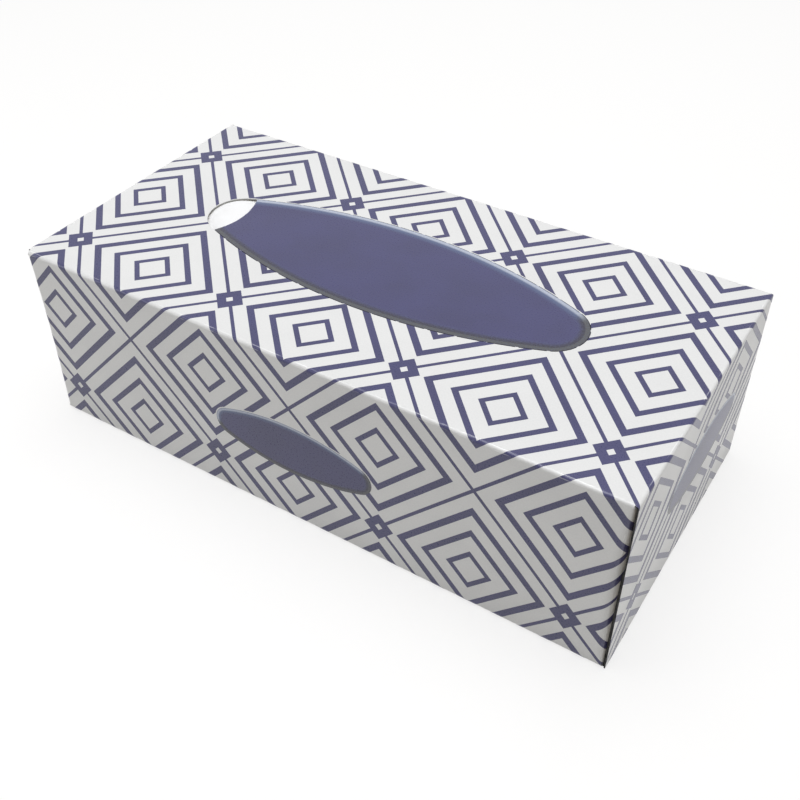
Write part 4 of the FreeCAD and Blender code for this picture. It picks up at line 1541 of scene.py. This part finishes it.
@dataclass
class Studio:
    """The photograph's view, soft lights, a white surround and a pale floor.

    Args:
        eye, turn, focal_pixels, frame_pixels, sensor: the camera.
        ambient, warm: strength and colour of the surround's light on the scene.
        cool: colour of the softboxes.
        floor_half, floor_tone: half the floor's width in metres, and its colour.
        floor_veil, floor_glow: share and strength of the white that the camera sees over it.
        softboxes: the lights.
    """

    eye: Triple = (0.163571, -0.250825, 0.276392)
    turn: Triple = (48.8303, 0.0873, 32.3163)
    focal_pixels: float = 1049.505
    frame_pixels: float = 800.0
    sensor: float = 36.0
    ambient: float = 0.26
    warm: Colour = (1.0, 0.98, 0.94, 1.0)
    cool: Triple = (0.985, 0.995, 1.02)
    floor_half: float = 3.0
    floor_tone: Colour = (0.70, 0.69, 0.675, 1.0)
    floor_veil: float = 0.6
    floor_glow: float = 1.24
    softboxes: tuple[Softbox, ...] = (
        Softbox("top_softbox", (-0.05, 0.05, 1.1), (0.0, 0.0, 0.0), 0.9, 9.6),
        Softbox("left_softbox", (-0.55, -0.5, 0.4), (0.0, 0.0, 0.03), 0.35, 0.7),
        Softbox("right_softbox", (0.75, 0.35, 0.5), (0.1, 0.0, 0.03), 0.5, 0.5))

    def build(self) -> None:
        """Set up the whole studio."""
        self.add_camera()
        self.add_world()
        self.add_floor()
        for softbox in self.softboxes:
            self.add_light(softbox)

    def add_camera(self) -> None:
        """Put the camera where the photograph was taken."""
        data = bpy.data.cameras.new("camera")
        data.sensor_width = self.sensor
        data.lens = self.focal_pixels * self.sensor / self.frame_pixels
        data.clip_start = 0.01
        camera = add_object("camera", data)
        camera.location = self.eye
        camera.rotation_euler = [math.radians(angle) for angle in self.turn]
        bpy.context.scene.camera = camera

    def add_world(self) -> None:
        """Light everything softly, and show plain white behind."""
        world = bpy.data.worlds.new("surround")
        nodes = Nodes.fresh(world)
        seen = self.seen(nodes)
        soft = nodes.put(nodes.add("ShaderNodeBackground"), Color=self.warm, Strength=self.ambient)
        white = nodes.put(nodes.add("ShaderNodeBackground"), Color=WHITE, Strength=1.0)
        nodes.end("ShaderNodeOutputWorld", nodes.blend(seen, soft, white))
        bpy.context.scene.world = world

    @staticmethod
    def seen(nodes: Nodes) -> Socket:
        """One for rays that show the surround in the picture, and none for rays that only light it."""
        path = nodes.add("ShaderNodeLightPath")
        seen = nodes.math("MAXIMUM", path.outputs["Is Camera Ray"], path.outputs["Is Glossy Ray"])
        return nodes.math("MAXIMUM", seen, path.outputs["Is Transmission Ray"])

    def add_floor(self) -> None:
        """A plain pale floor, seen through a white veil that leaves the box's shadow."""
        mesh = bpy.data.meshes.new("floor")
        half = self.floor_half
        mesh.from_pydata([(-half, -half, 0), (half, -half, 0), (half, half, 0), (-half, half, 0)], [],
                         [(0, 1, 2, 3)])
        floor = add_object("floor", mesh)
        material = bpy.data.materials.new("floor_white")
        nodes = Nodes.fresh(material)
        matt = nodes.put(nodes.add("ShaderNodeBsdfDiffuse"), Color=self.floor_tone)
        glow = nodes.put(nodes.add("ShaderNodeEmission"), Color=WHITE, Strength=self.floor_glow)
        veil = nodes.math("MULTIPLY", self.seen(nodes), self.floor_veil)
        nodes.end("ShaderNodeOutputMaterial", nodes.blend(veil, matt, glow))
        mesh.materials.append(material)

    def add_light(self, softbox: Softbox) -> None:
        """Add a soft light and turn it to the point that it faces."""
        data = bpy.data.lights.new(softbox.name, "AREA")
        data.color = self.cool
        data.size = softbox.size
        data.energy = softbox.power
        light = add_object(softbox.name, data)
        light.location = softbox.place
        run = np.array(softbox.aim) - np.array(softbox.place)
        yaw = math.atan2(run[1], run[0])
        pitch = math.atan2(math.hypot(run[0], run[1]), -run[2])
        light.rotation_euler = (pitch, 0.0, yaw - QUARTER_TURN)


@dataclass(frozen=True)
class OvalLayout:
    """Where the five printed ovals lie, in millimetres.

    Args:
        shift_left: how far left of the middle the top's, front's and back's ovals lie.
        top_shift_back, end_shift_back: how far behind the middle the top's and the ends' ovals lie.
        side_lowering: how far under the middle of its panel a side's oval lies.
        end_lift: how far over the middle of its end an end's oval lies.
        top_shape, side_shape, end_shape: length, width and end radius of the three kinds.
        side_rim, end_rim: width of the small ovals' rims.
    """

    shift_left: float = 2.2
    top_shift_back: float = 1.6
    side_lowering: float = 3.0
    end_lift: float = 5.0
    end_shift_back: float = 7.0
    top_shape: Triple = (151.2, 49.8, 12.7)
    side_shape: Triple = (64.0, 21.5, 6.0)
    end_shape: Triple = (60.0, 20.0, 5.5)
    side_rim: float = 2.4
    end_rim: float = 2.2

    def top(self, size: CartonSize) -> Oval:
        """The tear-out oval."""
        return Oval(-self.shift_left, size.width / 2 - self.top_shift_back, *self.top_shape)

    def all(self, size: CartonSize, folding: Folding) -> tuple[Oval, ...]:
        """The tear-out oval and one small oval on each side of the box."""
        side_depth = size.height / 2 + self.side_lowering
        front = folding.panel_at(Panel.FRONT, side_depth)
        back = float(folding.folds[0]) + size.fold_radius * CORNER_LOSS - side_depth
        end = folding.flap_end(Panel.TOP, size.height / 2 - self.end_lift)
        across = size.width / 2 - self.end_shift_back
        return (
            self.top(size),
            Oval(-self.shift_left, front, *self.side_shape, rim=self.side_rim),
            Oval(-self.shift_left, back, *self.side_shape, up=1, rim=self.side_rim),
            Oval(end, across, *self.end_shape, along_m=False, rim=self.end_rim),
            Oval(-end, across, *self.end_shape, along_m=False, up=1, rim=self.end_rim),
        )


def main() -> None:
    """Build the box round the CAD frame, in order, and finish."""
    logging.basicConfig(level=logging.INFO, format="%(message)s")
    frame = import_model()

    size = CartonSize()
    layout = OvalLayout()
    opening = Opening(layout.top(size))
    folding = Folding(size, Softness(), opening)
    blank = Blank(size, folding, Lattice(), opening, layout.all(size, folding))
    log.info("blank: %d points, %d triangles", len(blank.m), len(blank.triangles))

    effects = SharedEffects()
    outside = CoatedBoard("board_coated", effects).build()
    inside = RawBoard("board_raw", effects).build()
    edge = CutEdge("board_edge", effects, opening.hole_middle).build()
    navy = NavyInk("ink_navy", effects).build()
    rims = RimInk("ink_rim", effects).build()
    log.info("finishes done")

    Carton(blank, outside, inside, edge).build()
    patterns = ("print_top", "print_front", "print_back", "print_right_end", "print_left_end")
    Print("lattice_ink", blank, Label.LATTICE, patterns, Slot.NAVY, navy).build()
    Print("oval_ink", blank, Label.FIELD, ("oval_fields",), Slot.NAVY, navy).build()
    Print("rim_ink", blank, Label.RIM, ("pale_rims",), Slot.PALE, rims).build()
    log.info("carton and print done")

    TissueStack(TissuePaper("tissue_creped").build()).build()
    Glue(DriedGlue("glue_dried").build()).finish(frame)
    log.info("tissues and glue done")

    Studio().build()
    bpy.context.scene.view_settings.view_transform = "Standard"


if __name__ == "__main__":
    main()
